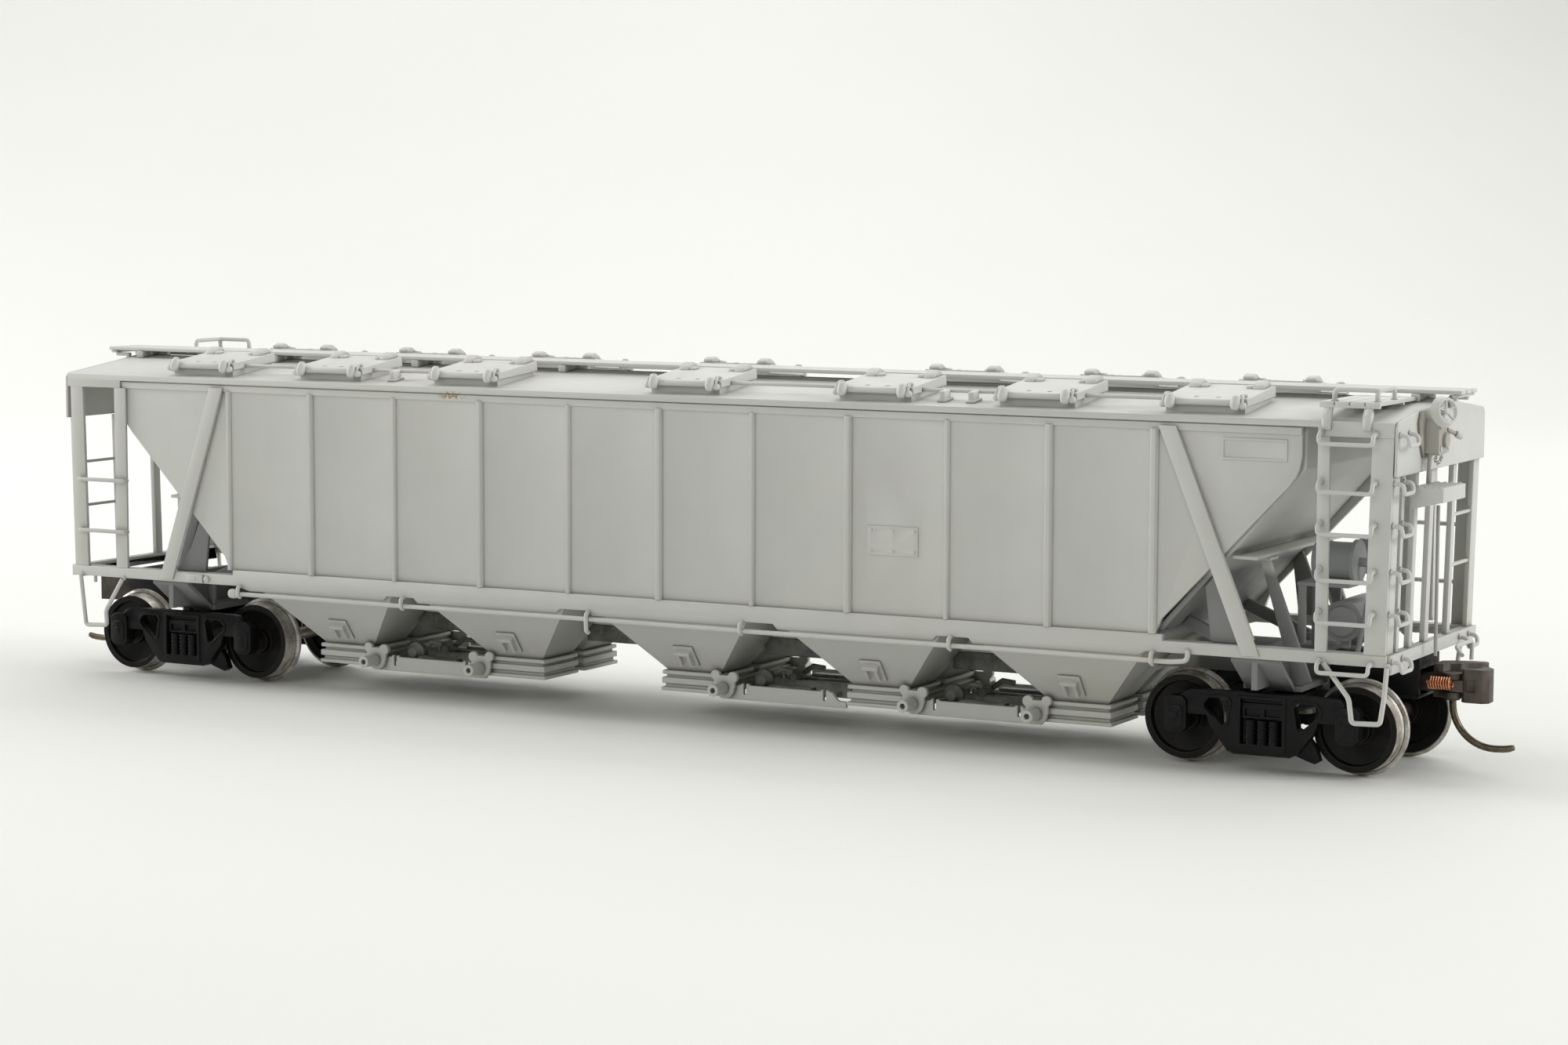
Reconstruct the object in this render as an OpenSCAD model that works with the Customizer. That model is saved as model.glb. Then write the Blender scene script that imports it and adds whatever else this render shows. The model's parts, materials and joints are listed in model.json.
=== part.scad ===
// Covered hopper freight car, HO scale model (1:87.1), in millimetres.
// +X runs along the car to its brake end, +Y across it, +Z up.
// Origin: middle of the car in plan, level with the lowest point of the wheel flanges.

/* [Body] */

// Roof length over its ends
roof_length = 180; // [176:1:184]
// Overall width of the body over the side sills
body_width = 31; // [30:0.5:32]
// Height of the roof edge above the wheel flanges
eave_z = 39.66; // [39:0.1:40.4]
// Height of the roof ridge
ridge_z = 41.5; // [41:0.1:42]
// Height of the top face of the side sill along the hoppers
ledge_z = 15.3; // [15:0.1:15.6]
// Thickness of a body sheet
sheet = 0.7; // [0.5:0.1:0.9]

/* [Side posts] */

// Spacing of the upright ribs on each side
rib_pitch = 12.65; // [12.4:0.05:12.8]
// Number of upright ribs on each side
rib_count = 11; // [9:2:11]
// Depth the ribs stand out from the side sheet
rib_proud = 0.5; // [0.3:0.1:0.6]

/* [Hoppers and gates] */

// Spacing of the five hopper bays
bay_pitch = 25.3; // [25:0.1:25.5]
// Opening of one outlet along the car
outlet_x = 7.3; // [7:0.1:7.6]
// Outer edge of an outlet measured from the centre line
outlet_y = 8.2; // [7.8:0.1:8.6]
// Height of the bottom edge of the hopper sheets
outlet_z = 5.8; // [5.6:0.1:6]
// Rise over run of the sloping sheets
sheet_slope = 1.09; // [1.05:0.01:1.12]

/* [Roof hatches] */

// Length of a hatch cover along the car
cover_x = 10; // [9.6:0.1:10.2]
// Width of a hatch cover across the car
cover_y = 9; // [8.6:0.1:9.2]
// Height of the hatch coaming above the roof
coaming_h = 1.2; // [1:0.1:1.4]

/* [Trucks and wheels] */

// Distance between the two truck pivots
truck_centres = 148.5; // [147:0.5:149.5]
// Distance between the two axles of a truck
wheelbase = 20; // [19.8:0.05:20.2]
// Wheel radius over the flange
flange_r = 5.45; // [5.3:0.01:5.5]
// Wheel radius on the tread
tread_r = 4.82; // [4.7:0.01:4.9]
// Diameter of the axle between the wheels
axle_d = 1.6; // [1.4:0.1:1.8]
// Diameter of the axle journals in the side frames
journal_d = 1; // [0.9:0.05:1.1]
// Radial clearance of every turning fit
fit_gap = 0.05; // [0.03:0.01:0.08]

/* [Couplers] */

// Height of the coupler centre line
coupler_z = 9.95; // [9.8:0.05:10.1]
// Distance from the middle of the car to the coupler pivot
coupler_pivot_x = 83.2; // [83:0.1:83.4]

/* [Hidden] */

half_l = roof_length / 2;
half_w = body_width / 2;
roof_slope = (ridge_z - eave_z) / half_w;
roof_angle = atan(roof_slope);
side_shift = 0.9;
rib_x = [for (i = [0 : rib_count - 1]) (i - (rib_count - 1) / 2) * rib_pitch - side_shift];
bay_x = [for (i = [-2 : 2]) i * bay_pitch];
gap_x = [-1.5 * bay_pitch, 0.5 * bay_pitch, 1.5 * bay_pitch];
outlet_half = outlet_x / 2;
bay_top = outlet_z + (bay_pitch / 2 - 0.05 - outlet_half) * sheet_slope;
slope_x0 = bay_x[4] + bay_pitch / 2;
wall_y = half_w - 0.4;
truck_x = truck_centres / 2;
axle_dx = wheelbase / 2;
axle_z = flange_r;
sill_end = half_l - 0.5;
hatch_x = [-69.3, -49.5, -29.3, 1.8, 27, 47.4, 67.6];
hatch_y = -9.4;
shaft_side = [1, -1, 1, 1, -1];
shaft_x = [for (i = [0 : 4]) bay_x[i] + shaft_side[i] * (outlet_half + 1.1)];
shaft_z = 4.3;
rung_z = [17.9, 22.5, 27.5, 32.05, 37.25];
lean = 0.0235;
sill_face = half_l - 0.15;
plate_face = half_l + 0.3;
wire_d = 0.45;
pipe_z = 12.35;
paint = [0.74, 0.75, 0.72];
roof_paint = [0.86, 0.86, 0.84];
black = [0.06, 0.06, 0.065];
steel = [0.45, 0.4, 0.34];
copper = [0.7, 0.4, 0.25];

// ---------- shared shapes ----------

function roof_at(y) = ridge_z - abs(y) * roof_slope;
function bay_half(z) = outlet_half + (z - outlet_z) / sheet_slope;

module block(x0, x1, y0, y1, z0, z1) {
    translate([x0, y0, z0]) cube([x1 - x0, y1 - y0, z1 - z0]);
}

// Extrudes an X-Z outline from y0 to y1.
module side_shape(y0, y1) {
    translate([0, y1, 0]) rotate([90, 0, 0]) linear_extrude(y1 - y0) children();
}

// Extrudes a Y-Z outline from x0 to x1.
module end_shape(x0, x1) {
    translate([x0, 0, 0]) rotate([90, 0, 90]) linear_extrude(x1 - x0) children();
}

module both_sides() {
    children();
    mirror([0, 1, 0]) children();
}

module both_ends() {
    children();
    mirror([1, 0, 0]) children();
}

module half_turn() {
    children();
    rotate([0, 0, 180]) children();
}

module rod(from, to, d) {
    run = to - from;
    span = norm(run);
    translate(from)
        rotate([0, acos(run[2] / span), atan2(run[1], run[0])])
            cylinder(h = span, d = d, $fn = 24);
}

// Bent wire through a list of points, with a ball at each bend.
module wire(points, d) {
    for (i = [0 : len(points) - 2]) rod(points[i], points[i + 1], d);
    for (i = [1 : len(points) - 2]) translate(points[i]) sphere(d = d * 1.04, $fn = 24);
}

// U-shaped iron: bar along X, legs along +Y from y = 0.
module grab(width, reach, d) {
    bend = d;
    both_ends() {
        translate([width / 2, 0, 0]) rotate([-90, 0, 0])
            cylinder(h = reach - bend, d = d, $fn = 24);
        translate([width / 2 - bend, reach - bend, 0])
            rotate_extrude(angle = 90, $fn = 48) translate([bend, 0]) circle(d = d, $fn = 24);
    }
    translate([bend - width / 2, reach, 0]) rotate([0, 90, 0])
        cylinder(h = width - 2 * bend, d = d, $fn = 24);
}

// ---------- side walls ----------

module wall_outline() {
    foot = ledge_z;
    translate([-side_shift, 0]) both_ends() polygon([
        [-0.01, foot], [slope_x0 + 0.3, foot], [slope_x0 + 1, foot + 1.7], [78.9, 32.4],
        [79.6, 33.3], [80.05, 34.3], [80.3, 35.6], [80.3, eave_z - 0.7], [-0.01, eave_z - 0.7]]);
}

module rib(x, width, proud, low, high) {
    translate([x, -wall_y, low]) linear_extrude(high - low)
        polygon([[-width / 2, 0.05], [width / 2, 0.05], [width / 2, -proud * 0.4],
                 [width / 4, -proud], [-width / 4, -proud], [-width / 2, -proud * 0.4]]);
}

module side_wall() {
    side_shape(-wall_y, sheet - wall_y) wall_outline();
    block(-80.3 - side_shift, 80.3 - side_shift, -wall_y - 0.2, 0.05 - wall_y, 38, eave_z - 0.86);
    for (i = [0 : rib_count - 1])
        rib(rib_x[i], i % 2 == 1 || i == rib_count - 1 ? 1 : 0.7,
            i % 2 == 1 ? rib_proud + 0.1 : rib_proud, ledge_z, 38.1);
    card_board();
}

// Small riveted board and the outlined rectangle on the end of the side sheet.
module card_board() {
    block(26.9, 33.4, -wall_y - 0.12, 0.05 - wall_y, 22.2, 25.6);
    for (x = [27.4, 30.15, 32.9]) for (z = [22.7, 25.1])
        translate([x, -wall_y - 0.06, z]) rotate([90, 0, 0]) cylinder(h = 0.16, d = 0.34, $fn = 20);
    difference() {
        block(70.2, 77.8, -wall_y - 0.1, 0.05 - wall_y, 35, 37.4);
        block(70.45, 77.55, -wall_y - 0.2, -wall_y, 35.25, 37.15);
    }
}

module side_wall_right() { color(paint) side_wall(); }

module side_wall_left() { color(paint) rotate([0, 0, 180]) side_wall(); }

// ---------- sills, posts and ends ----------

module sill_outline() {
    low = 12.7;
    end_low = 13.3;
    polygon(concat(
        [[-sill_end, end_low], [-63.3, end_low], [-61, low]],
        [for (c = [-1.5, -0.5, 0.5, 1.5]) for (p = [[-2.6, low], [-2, 13.35], [2, 13.35], [2.6, low]])
            [c * bay_pitch + p[0], p[1]]],
        [[60.7, low], [61.7, end_low], [sill_end, end_low], [sill_end, 14.6],
         [slope_x0 + 0.4, 14.6], [slope_x0 + 0.4, ledge_z], [-slope_x0 - 0.4, ledge_z],
         [-slope_x0 - 0.4, 14.6], [-sill_end, 14.6]]));
}

module side_sills() {
    color(paint) half_turn() {
        side_shape(-half_w, 0.8 - half_w) sill_outline();
        both_ends() block(slope_x0 + 0.4, sill_end - 0.9, 0.7 - half_w, 2 - half_w, 14.2, 14.6);
        block(-slope_x0, slope_x0, 0.7 - half_w, 1.05 - half_w, 14.4, ledge_z);
    }
}

module end_plates() {
    color(paint) both_ends() end_shape(half_l - 0.09, plate_face)
        polygon([[-half_w, 33.86], [half_w, 33.86], [half_w, eave_z - 0.4], [half_w - 0.5, eave_z + 0.1],
                 [0, ridge_z + 0.05], [0.5 - half_w, eave_z + 0.1], [-half_w, eave_z - 0.4]]);
}

// Post outline that leans outward with height, from foot to head between two X values.
module leaning(x0, x1, high) {
    rise = high - 14.6;
    polygon([[x0, 14.6], [x1, 14.6], [x1 + rise * lean, high], [x0 + rise * lean, high]]);
}

// Corner angles and the ladder stile beside each of them.
module corner_posts() {
    color(paint) {
        half_turn() {
            side_shape(-half_w, 0.5 - half_w) leaning(86.9, 89.33, 38);
            side_shape(-half_w, 0.5 - half_w) mirror([1, 0]) leaning(86.95, 88.9, 38);
            block(81.35, 82.7, -half_w, 0.5 - half_w, 14.6, 38);
            block(-82.3, -80.5, -half_w, 0.4 - half_w - 0.01, 14.6, 38);
        }
        both_ends() both_sides() side_shape(0.4 - half_w, 2.4 - half_w) leaning(88.83, 89.4, 33.8);
    }
}

// Leaning channel post across the end of each side sheet: face plate and two flanges.
module diagonal_posts() {
    color(paint) half_turn() for (p = [[64, 74.1], [-65.8, -74.1]]) {
        side_shape(-half_w - 0.25, -half_w - 0.01) strip(p[0], p[1], 1, 13.6, 38.5);
        side_shape(-half_w - 0.02, 0.39 - half_w) {
            strip(p[0] + 0.86, p[1] + 0.86, 0.14, ledge_z + 0.05, 37.95);
            strip(p[0] - 0.86, p[1] - 0.86, 0.14, ledge_z + 0.05, 37.95);
        }
    }
}

// Sloping strip cut level at both ends; head and foot give its middle at Z 38.5 and 13.6.
module strip(head, foot, half, low, high) {
    run = (head - foot) / (38.5 - 13.6);
    a = foot + (low - 13.6) * run;
    b = foot + (high - 13.6) * run;
    polygon([[a - half, low], [a + half, low], [b + half, high], [b - half, high]]);
}

// Uprights between the end sill and the end plate.
module end_posts() {
    color(paint) {
        half_turn() {
            for (p = [[-11.7, 0.9], [-7.2, 1.1], [-1.7, 1.3], [6.2, 1.1]])
                side_shape(p[0] - p[1] / 2, p[0] + p[1] / 2) leaning(88.8, 89.4, 33.8);
            for (z = [22.1, 27.8]) translate([(z - 14.6) * lean, 0, 0])
                block(88.85, 89.25, 6.7, half_w - 2.4, z, z + 0.35);
        }
        end_shape(89.1, 89.7) polygon([[-0.6, 33.8], [0.2, 33.8], [0.95, 17.6], [0.6, 16.8],
                                       [-0.3, 16.8], [-0.55, 17.6]]);
    }
}

module end_sills() {
    color(paint) half_turn() {
        block(sill_end, sill_face, -15.2, 15.2, 13.2, 14.6);
        block(sill_end - 0.9, sill_end, -half_w + 0.82, half_w - 0.82, 14.2, 14.59);
        end_shape(sill_end, sill_face)
            polygon([[-15.2, 12.5], [-9.4, 12.5], [-8.2, 13.25], [-15.2, 13.25]]);
    }
}

module centre_sill() {
    color(paint) {
        for (s = [-1, 1]) block(-78.9, 78.9, s * 1.9 - 0.35, s * 1.9 + 0.35, 9.8, 13.4);
        block(-78.9, 78.9, -1.56, 1.56, 12.9, 13.4);
    }
}

// Cross member over each truck, with the socket for the pivot screw.
module body_bolsters() {
    color(paint) both_ends() difference() {
        union() {
            translate([truck_x, 0, 9]) cylinder(h = 0.8, r = 3.2, $fn = 48);
            both_sides() {
                block(truck_x - 3.2, truck_x + 3.6, 2.26, 9.6, 9.1, 9.75);
                side_shape(2.26, 14.6) polygon([
                    [truck_x - 0.4, 9.7], [truck_x + 0.3, 9.7], [truck_x + 0.3, 14.1], [truck_x - 0.4, 14.1]]);
                end_shape(truck_x - 2.8, truck_x + 2.8)
                    polygon([[9.6, 9.1], [14.65, 12.8], [14.65, 13.5], [9.6, 9.75]]);
            }
            block(truck_x - 2.4, truck_x + 2.4, -1.54, 1.54, 9.7, 12.88);
        }
        translate([truck_x, 0, 8.5]) cylinder(h = 4, d = 2, $fn = 32);
    }
}

module slope_sheets() {
    run = sheet / 0.74;
    color(paint) both_ends() side_shape(-half_w + 1.12, half_w - 1.12) polygon([
        [slope_x0, bay_top + 0.02], [slope_x0 + 16.5, 34.2], [slope_x0 + 16.5, eave_z - 0.72],
        [slope_x0 + 16.5 - sheet, eave_z - 0.72], [slope_x0 + 16.5 - sheet, 34.4],
        [slope_x0 - run, bay_top + 0.02]]);
}

// Ledge and struts that carry each slope sheet down to the bolster.
module end_framing() {
    color(paint) both_ends() {
        block(slope_x0 + 8.1, slope_x0 + 11, -half_w + 1.15, half_w - 1.15, 24, 24.4);
        for (y = [-9.2, 9.2]) {
            side_shape(y - 0.3, y + 0.3) polygon([
                [72.6, 23.98], [73.7, 23.98], [78.9, 10.3], [77.7, 9.8], [76.9, 9.8]]);
            side_shape(y - 0.3, y + 0.3) polygon([
                [slope_x0 + 1.2, 16.8], [72.2, 13.6], [72.2, 9.8], [71.2, 9.8], [71.2, 12.4],
                [slope_x0 + 0.2, 15.7]]);
            block(70.9, 74.4, y - 1.1, y + 1.1, 23.6, 23.98);
        }
        for (s = [-1, 1]) side_shape(s * 14 - 0.25, s * 14 + 0.25)
            polygon([[slope_x0 + 6.1, 22.2], [slope_x0 + 4.9, 20.8], [68.9, 14.65], [73.6, 14.65],
                     [71.2, 17.6]]);
    }
}

// ---------- hoppers and gates ----------

module bay_end_outline(inset) {
    high = bay_top;
    crotch = 9.1;
    y1 = half_w - 1.12 - inset;
    bend = 13.6;
    polygon([[-y1, bend], [-outlet_y + inset, outlet_z - inset], [-1.3 - inset, outlet_z - inset],
             [-1.3 - inset, crotch + inset], [1.3 + inset, crotch + inset],
             [1.3 + inset, outlet_z - inset], [outlet_y - inset, outlet_z - inset], [y1, bend],
             [y1, high + inset], [-y1, high + inset]]);
}

module bay_side_outline(inset) {
    polygon([[-outlet_half + inset, outlet_z - inset], [outlet_half - inset, outlet_z - inset],
             [bay_half(bay_top) - inset, bay_top + inset],
             [-bay_half(bay_top) + inset, bay_top + inset]]);
}

module bay_solid(inset) {
    intersection() {
        side_shape(-20, 20) bay_side_outline(inset);
        end_shape(-20, 20) bay_end_outline(inset);
    }
}

module hopper_bays() {
    color(paint) for (x = bay_x) translate([x, 0, 0]) difference() {
        bay_solid(0);
        bay_solid(sheet);
        block(-20, 20, -2.3, 2.3, 9.75, 13.45);
    }
}

module outlet_ring(grow, low, high) {
    difference() {
        block(-outlet_half - grow, outlet_half + grow, -outlet_y - grow, grow - 1.3, low, high);
        block(-outlet_half + 0.4, outlet_half - 0.4, 0.4 - outlet_y, -1.7, low - 1, high + 1);
    }
}

module outlet_frames() {
    color(paint) for (x = bay_x) both_sides() translate([x, 0, 0]) {
        outlet_ring(0.55, outlet_z - 0.5, outlet_z);
        outlet_ring(0.15, outlet_z - 0.95, outlet_z - 0.4);
        outlet_ring(0.6, outlet_z - 1.6, outlet_z - 0.85);
    }
}

module outlet_gates() {
    color(paint) for (x = bay_x) both_sides() translate([x, 0, 0]) {
        block(-outlet_half - 0.3, outlet_half + 0.3, -outlet_y - 0.2, -1.1, 3.75, outlet_z - 1.62);
        block(-outlet_half - 0.7, outlet_half + 0.7, -outlet_y - 0.6, -0.8, 3.3, 3.76);
    }
}

// Notched guide rails that join neighbouring outlets under the floor.
module gate_rails() {
    reach = bay_pitch / 2 - outlet_half - 0.72;
    slot = [[0.6, 4.7], [0.45, 4.9], [0.18, 4.9], [0.18, 3.6], [-0.18, 3.6], [-0.18, 4.9],
            [-0.45, 4.9], [-0.6, 4.7]];
    color(paint) for (x = gap_x) for (y = [-8.5, -1.25, 1.25, 8.5]) translate([x, 0, 0])
        side_shape(y - 0.29, y + 0.29) polygon(concat(
            [[-reach, 2.9], [reach, 2.9], [reach, 3.65], [reach - 1.1, 3.75], [reach - 1.9, 4.7]],
            [for (c = [5.4, -5.4]) for (p = slot) [c + p[0], p[1]]],
            [[1.9 - reach, 4.7], [1.1 - reach, 3.75], [-reach, 3.65]]));
}

// Cross shafts that work the gates, with a socketed boss at both ends.
module gate_shafts() {
    color(paint) for (x = shaft_x) translate([x, 0, shaft_z]) rotate([90, 0, 0]) difference() {
        union() {
            cylinder(h = 24.4, d = 0.9, center = true, $fn = 24);
            for (s = [-1, 1]) translate([0, 0, s * 10.83])
                cylinder(h = 2.74, d = 1.45, center = true, $fn = 32);
        }
        for (s = [-1, 1]) translate([0, 0, s * 12.2])
            cylinder(h = 1.6, d = 0.75, center = true, $fn = 6);
    }
}

// Eared bearing plates that hold each cross shaft to its outlet frame.
module shaft_brackets() {
    color(paint) for (i = [0 : 4]) both_sides() {
        side = shaft_side[i];
        translate([shaft_x[i], 0, shaft_z]) difference() {
            side_shape(-9.42, -8.82) {
                circle(r = 1.3, $fn = 32);
                translate([side * 1.15, 1.35]) circle(r = 0.65, $fn = 32);
                translate([side * -1.2, 1.5]) circle(r = 0.6, $fn = 32);
                translate([-1.4, 0]) square([2.8, 1.5]);
            }
            side_shape(-10, -8) circle(d = 0.9 + 0.04, $fn = 24);
        }
    }
}

// Raised plate with an inverted U bracket on the lower face of each bay.
module bay_brackets() {
    pitch = atan2(13.6 - outlet_z, half_w - 1.12 - outlet_y);
    color(paint) for (x = bay_x) both_sides()
        translate([x - 0.1, -outlet_y, outlet_z]) rotate([180 - pitch, 0, 0]) translate([0, 2.85, 0]) {
            block(-1.35, 1.35, -1.6, 1.6, 0.01, 0.3);
            block(-1.05, 1.05, 0.6, 1.15, 0.3, 0.95);
            block(-1.05, -0.55, -1.25, 1.15, 0.3, 0.8);
            block(0.35, 0.85, -1.25, 1.15, 0.3, 0.8);
        }
}

// ---------- roof ----------

module roof_outline() {
    drop = 0.7;
    polygon([[-half_w, eave_z - drop], [-half_w, eave_z], [0, ridge_z], [half_w, eave_z],
             [half_w, eave_z - drop], [half_w - 1, eave_z - drop],
             [half_w - 1, roof_at(half_w - 1) - sheet], [0, ridge_z - sheet],
             [1 - half_w, roof_at(half_w - 1) - sheet], [1 - half_w, eave_z - drop]]);
}

module on_roof(x) {
    translate([x, hatch_y, roof_at(hatch_y)]) rotate([roof_angle, 0, 0]) children();
}

module all_hatches() {
    half_turn() for (x = hatch_x) on_roof(x) children();
}

// Gable roof with its hatch coamings and the short fascia strips at the corners.
module roof() {
    color(roof_paint) {
        end_shape(0.1 - half_l, half_l - 0.1) roof_outline();
        all_hatches() block(-4.65, 4.65, -cover_y / 2 + 0.35, cover_y / 2 - 0.35, -0.2, coaming_h);
        both_ends() both_sides()
            block(81.35, half_l - 0.12, -half_w, 0.45 - half_w, 38.01, eave_z - 0.6);
    }
}

module hatch_covers() {
    color(roof_paint) all_hatches() difference() {
        union() {
            block(-cover_x / 2, cover_x / 2, -cover_y / 2, cover_y / 2, coaming_h + 0.01, coaming_h + 0.45);
            for (s = [-1, 1]) side_lip(s * (cover_x / 2 - 0.15));
            translate([0, -cover_y / 2, coaming_h + 0.08]) rotate([0, 90, 0])
                cylinder(h = cover_x, d = 0.74, center = true, $fn = 32);
        }
        both_ends() translate([cover_x / 2 - 0.8, -cover_y / 2 - 0.52, coaming_h + 0.05])
            rotate([0, 90, 0]) cylinder(h = 1.2, d = 1.42, $fn = 32);
    }
}

// Lip down one side of a cover, deeper at the hinge end.
module side_lip(x) {
    end_shape(x - 0.15, x + 0.15) polygon([
        [-cover_y / 2, coaming_h + 0.1], [-cover_y / 2, coaming_h - 0.3], [cover_y / 2, coaming_h - 0.7],
        [cover_y / 2, coaming_h + 0.1]]);
}

// Rounded latches on the front corners of each cover and hinges behind it.
module hatch_fittings() {
    top = coaming_h + 0.46;
    color(roof_paint) all_hatches() both_ends() {
        translate([cover_x / 2 - 0.75, -cover_y / 2 - 0.52, coaming_h + 0.05]) rotate([0, 90, 0])
            cylinder(h = 1.05, d = 1.36, $fn = 32);
        block(cover_x / 2 - 1.9, cover_x / 2 - 1.5, -cover_y / 2 + 1.1, -cover_y / 2 + 2.1, top, top + 0.3);
        block(cover_x / 2 - 2.4, cover_x / 2 - 1.4, cover_y / 2 - 0.7, cover_y / 2 + 0.2, top, top + 0.4);
    }
}

// Hold-down rods between the covers, and the brackets that guide them.
module hatch_rods() {
    rise = 1.05;
    color(roof_paint) half_turn() {
        for (i = [0, 1, 3, 4, 5]) {
            a = hatch_x[i] + cover_x / 2 + 0.02;
            b = hatch_x[i + 1] - cover_x / 2 - 0.02;
            on_roof(0) rod([a, -1.8, rise], [b, -1.8, rise], wire_d);
        }
        for (x = [-40.6, 35.3, 38.9]) on_roof(x) {
            block(-0.35, 0.35, -3.6, -2.03, 0.02, 1.25);
            block(-0.55, 0.55, -3.9, -1.6, 0.02, 0.3);
        }
    }
}

module running_board() {
    color(roof_paint) {
        for (y = [-1.98, 0, 1.98])
            block(-93.2, 93.2, y - 0.87, y + 0.87, 42.1, 42.55);
    }
}

module board_saddles() {
    color(roof_paint) {
        for (i = [-4 : 4]) end_shape(i * 22 - 0.5, i * 22 + 0.5)
            polygon([[-3, roof_at(3) + 0.02], [0, ridge_z + 0.02], [3, roof_at(3) + 0.02], [3, 42.08],
                     [-3, 42.08]]);
        both_ends() {
            block(92.1, 92.9, -2.8, 2.8, 41.75, 42.08);
            for (y = [-2, 2]) {
                block(plate_face + 0.02, 92.5, y - 0.3, y + 0.3, 41.3, 41.75);
                block(plate_face + 0.02, plate_face + 0.5, y - 0.3, y + 0.3, 40.3, 41.35);
            }
        }
    }
}

// Crosswise walkways at two opposite corners, on curved brackets.
module lateral_boards() {
    color(roof_paint) half_turn() {
        for (i = [0 : 3]) block(81.4 + i * 1.72, 82.96 + i * 1.72, -15.3, -3.05, 41.35, 41.75);
        block(81.4, 88.1, -15.35, -14.75, 41.1, 41.36);
        block(81.4, 88.1, -7.4, -6.8, 41.1, 41.36);
        for (x = [82.4, 86.9]) side_bracket(x);
    }
}

module side_bracket(x) {
    translate([x, 0, 0]) end_shape(-0.45, 0.45)
        difference() {
            polygon([[-15.75, 38.75], [-15.52, 38.75], [-15.52, 39.9], [-14.85, 41.12], [-15.3, 41.12],
                     [-15.98, 40.2], [-15.98, 39.2]]);
            circle(r = 1, $fn = 24);
        }
}

// ---------- irons, ladders and steps ----------

module drop_iron(x, y, z, width, turn) {
    translate([x, y, z]) rotate([0, 0, turn]) rotate([45, 0, 0]) mirror([0, 1, 0])
        grab(width, 1.6, wire_d);
}

// X of the end face that an iron at height z is fixed to.
function end_x(z) = z > 33.8 ? plate_face + 0.05 : 89.43 + (z - 14.6) * lean;

// Ladder rungs, end-sill irons and the corner irons on the roof walkways.
module grab_irons() {
    drop = 1.13;
    color(paint) half_turn() {
        for (z = rung_z) {
            drop_iron(84.85, -half_w - 0.05, z + drop, 6.1, 0);
            drop_iron(end_x(z + drop), -13.5, z + drop, 3.1, 90);
        }
        drop_iron(84.9, -half_w - 0.05, 13.6, 5.8, 0);
        for (z = [19.35, 26]) translate([-84.15, -half_w - 0.02, z]) mirror([0, 1, 0])
            grab(7.3, 0.6, wire_d);
        drop_iron(sill_face + 0.05, -13.2, 13.95, 3.4, 90);
        drop_iron(sill_face + 0.05, 10.5, 13.95, 3.4, 90);
        wire([[82.6, -13.9, 41.76], [82.6, -13.9, 43], [87.5, -13.9, 43], [87.5, -8.6, 43],
              [87.5, -8.6, 41.76]], wire_d);
        rod([87.5, -13.9, 41.76], [87.5, -13.9, 42.74], wire_d);
    }
}

module stirrups() {
    y = -half_w - 0.26;
    color(paint) half_turn() {
        wire([[82.7, y, 13.3], [85.5, y, 9.75], [85.8, y, 7.1], [89, y, 7.2], [89.4, y, 10],
              [89.65, y, 13.3]], 0.5);
        wire([[-88, y, 13.3], [-87.3, y, 6.85], [-83.8, y, 7], [-83.95, y, 8.87], [-81.1, y, 13.3]], 0.5);
    }
}

// Brake pipe along the right side, turned up into the sill at its far end.
module train_pipe() {
    bend = 1.2;
    right = 65.6;
    d = 0.55;
    color(paint) translate([0, -15.79, pipe_z]) {
        translate([-63.6, 0, 0]) rotate([0, 90, 0]) cylinder(h = right + 63.6, d = d, $fn = 24);
        translate([right, 0, bend]) rotate([90, 0, 0]) rotate([0, 0, -90])
            rotate_extrude(angle = 90, $fn = 48) translate([bend, 0]) circle(d = d, $fn = 24);
        translate([right + bend, 0, bend]) cylinder(h = 0.3, d = d, $fn = 24);
    }
}

module pipe_hangers() {
    color(paint) {
        for (x = [-62.4, -37.4, -10.5, 10.6, 37.8, 62.6]) difference() {
            side_shape(-16.3, -15.52) translate([x, pipe_z + 0.35]) square([0.8, 1.5], center = true);
            translate([x - 1, -15.79, pipe_z]) rotate([0, 90, 0]) cylinder(h = 2, d = 0.6, $fn = 24);
        }
        block(-70.8, -68.2, -half_w - 0.4, -half_w - 0.01, 13.35, 14.5);
        translate([-67.7, -half_w - 0.01, 13.9]) rotate([90, 0, 0]) cylinder(h = 0.4, d = 0.8, $fn = 24);
    }
}

module uncoupling_levers() {
    color(paint) half_turn()
        wire([[91.5, 8.6, 11.5], [91.5, 8.6, 13.7], [91.3, 3.2, 13.6], [92.6, 1.4, 12.9]], wire_d);
}

// ---------- brake gear ----------

// Dished hand wheel, set askew on its shaft so that it faces one corner of the car.
module brake_wheel() {
    color(paint) translate([92.95, -7.5, 40.6]) rotate([0, 78, -30]) {
        rotate_extrude($fn = 48)
            polygon([[1.1, 0.35], [1.4, 0.35], [1.72, -0.5], [1.55, -0.55], [1.38, -0.35]]);
        translate([0, 0, -0.6]) cylinder(h = 0.95, d = 0.9, $fn = 32);
        for (a = [0 : 72 : 288]) rotate([0, 0, a]) translate([0.3, 0, 0.18]) rotate([0, 90, 0])
            cylinder(h = 0.95, d = 0.3, $fn = 20);
    }
}

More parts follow.
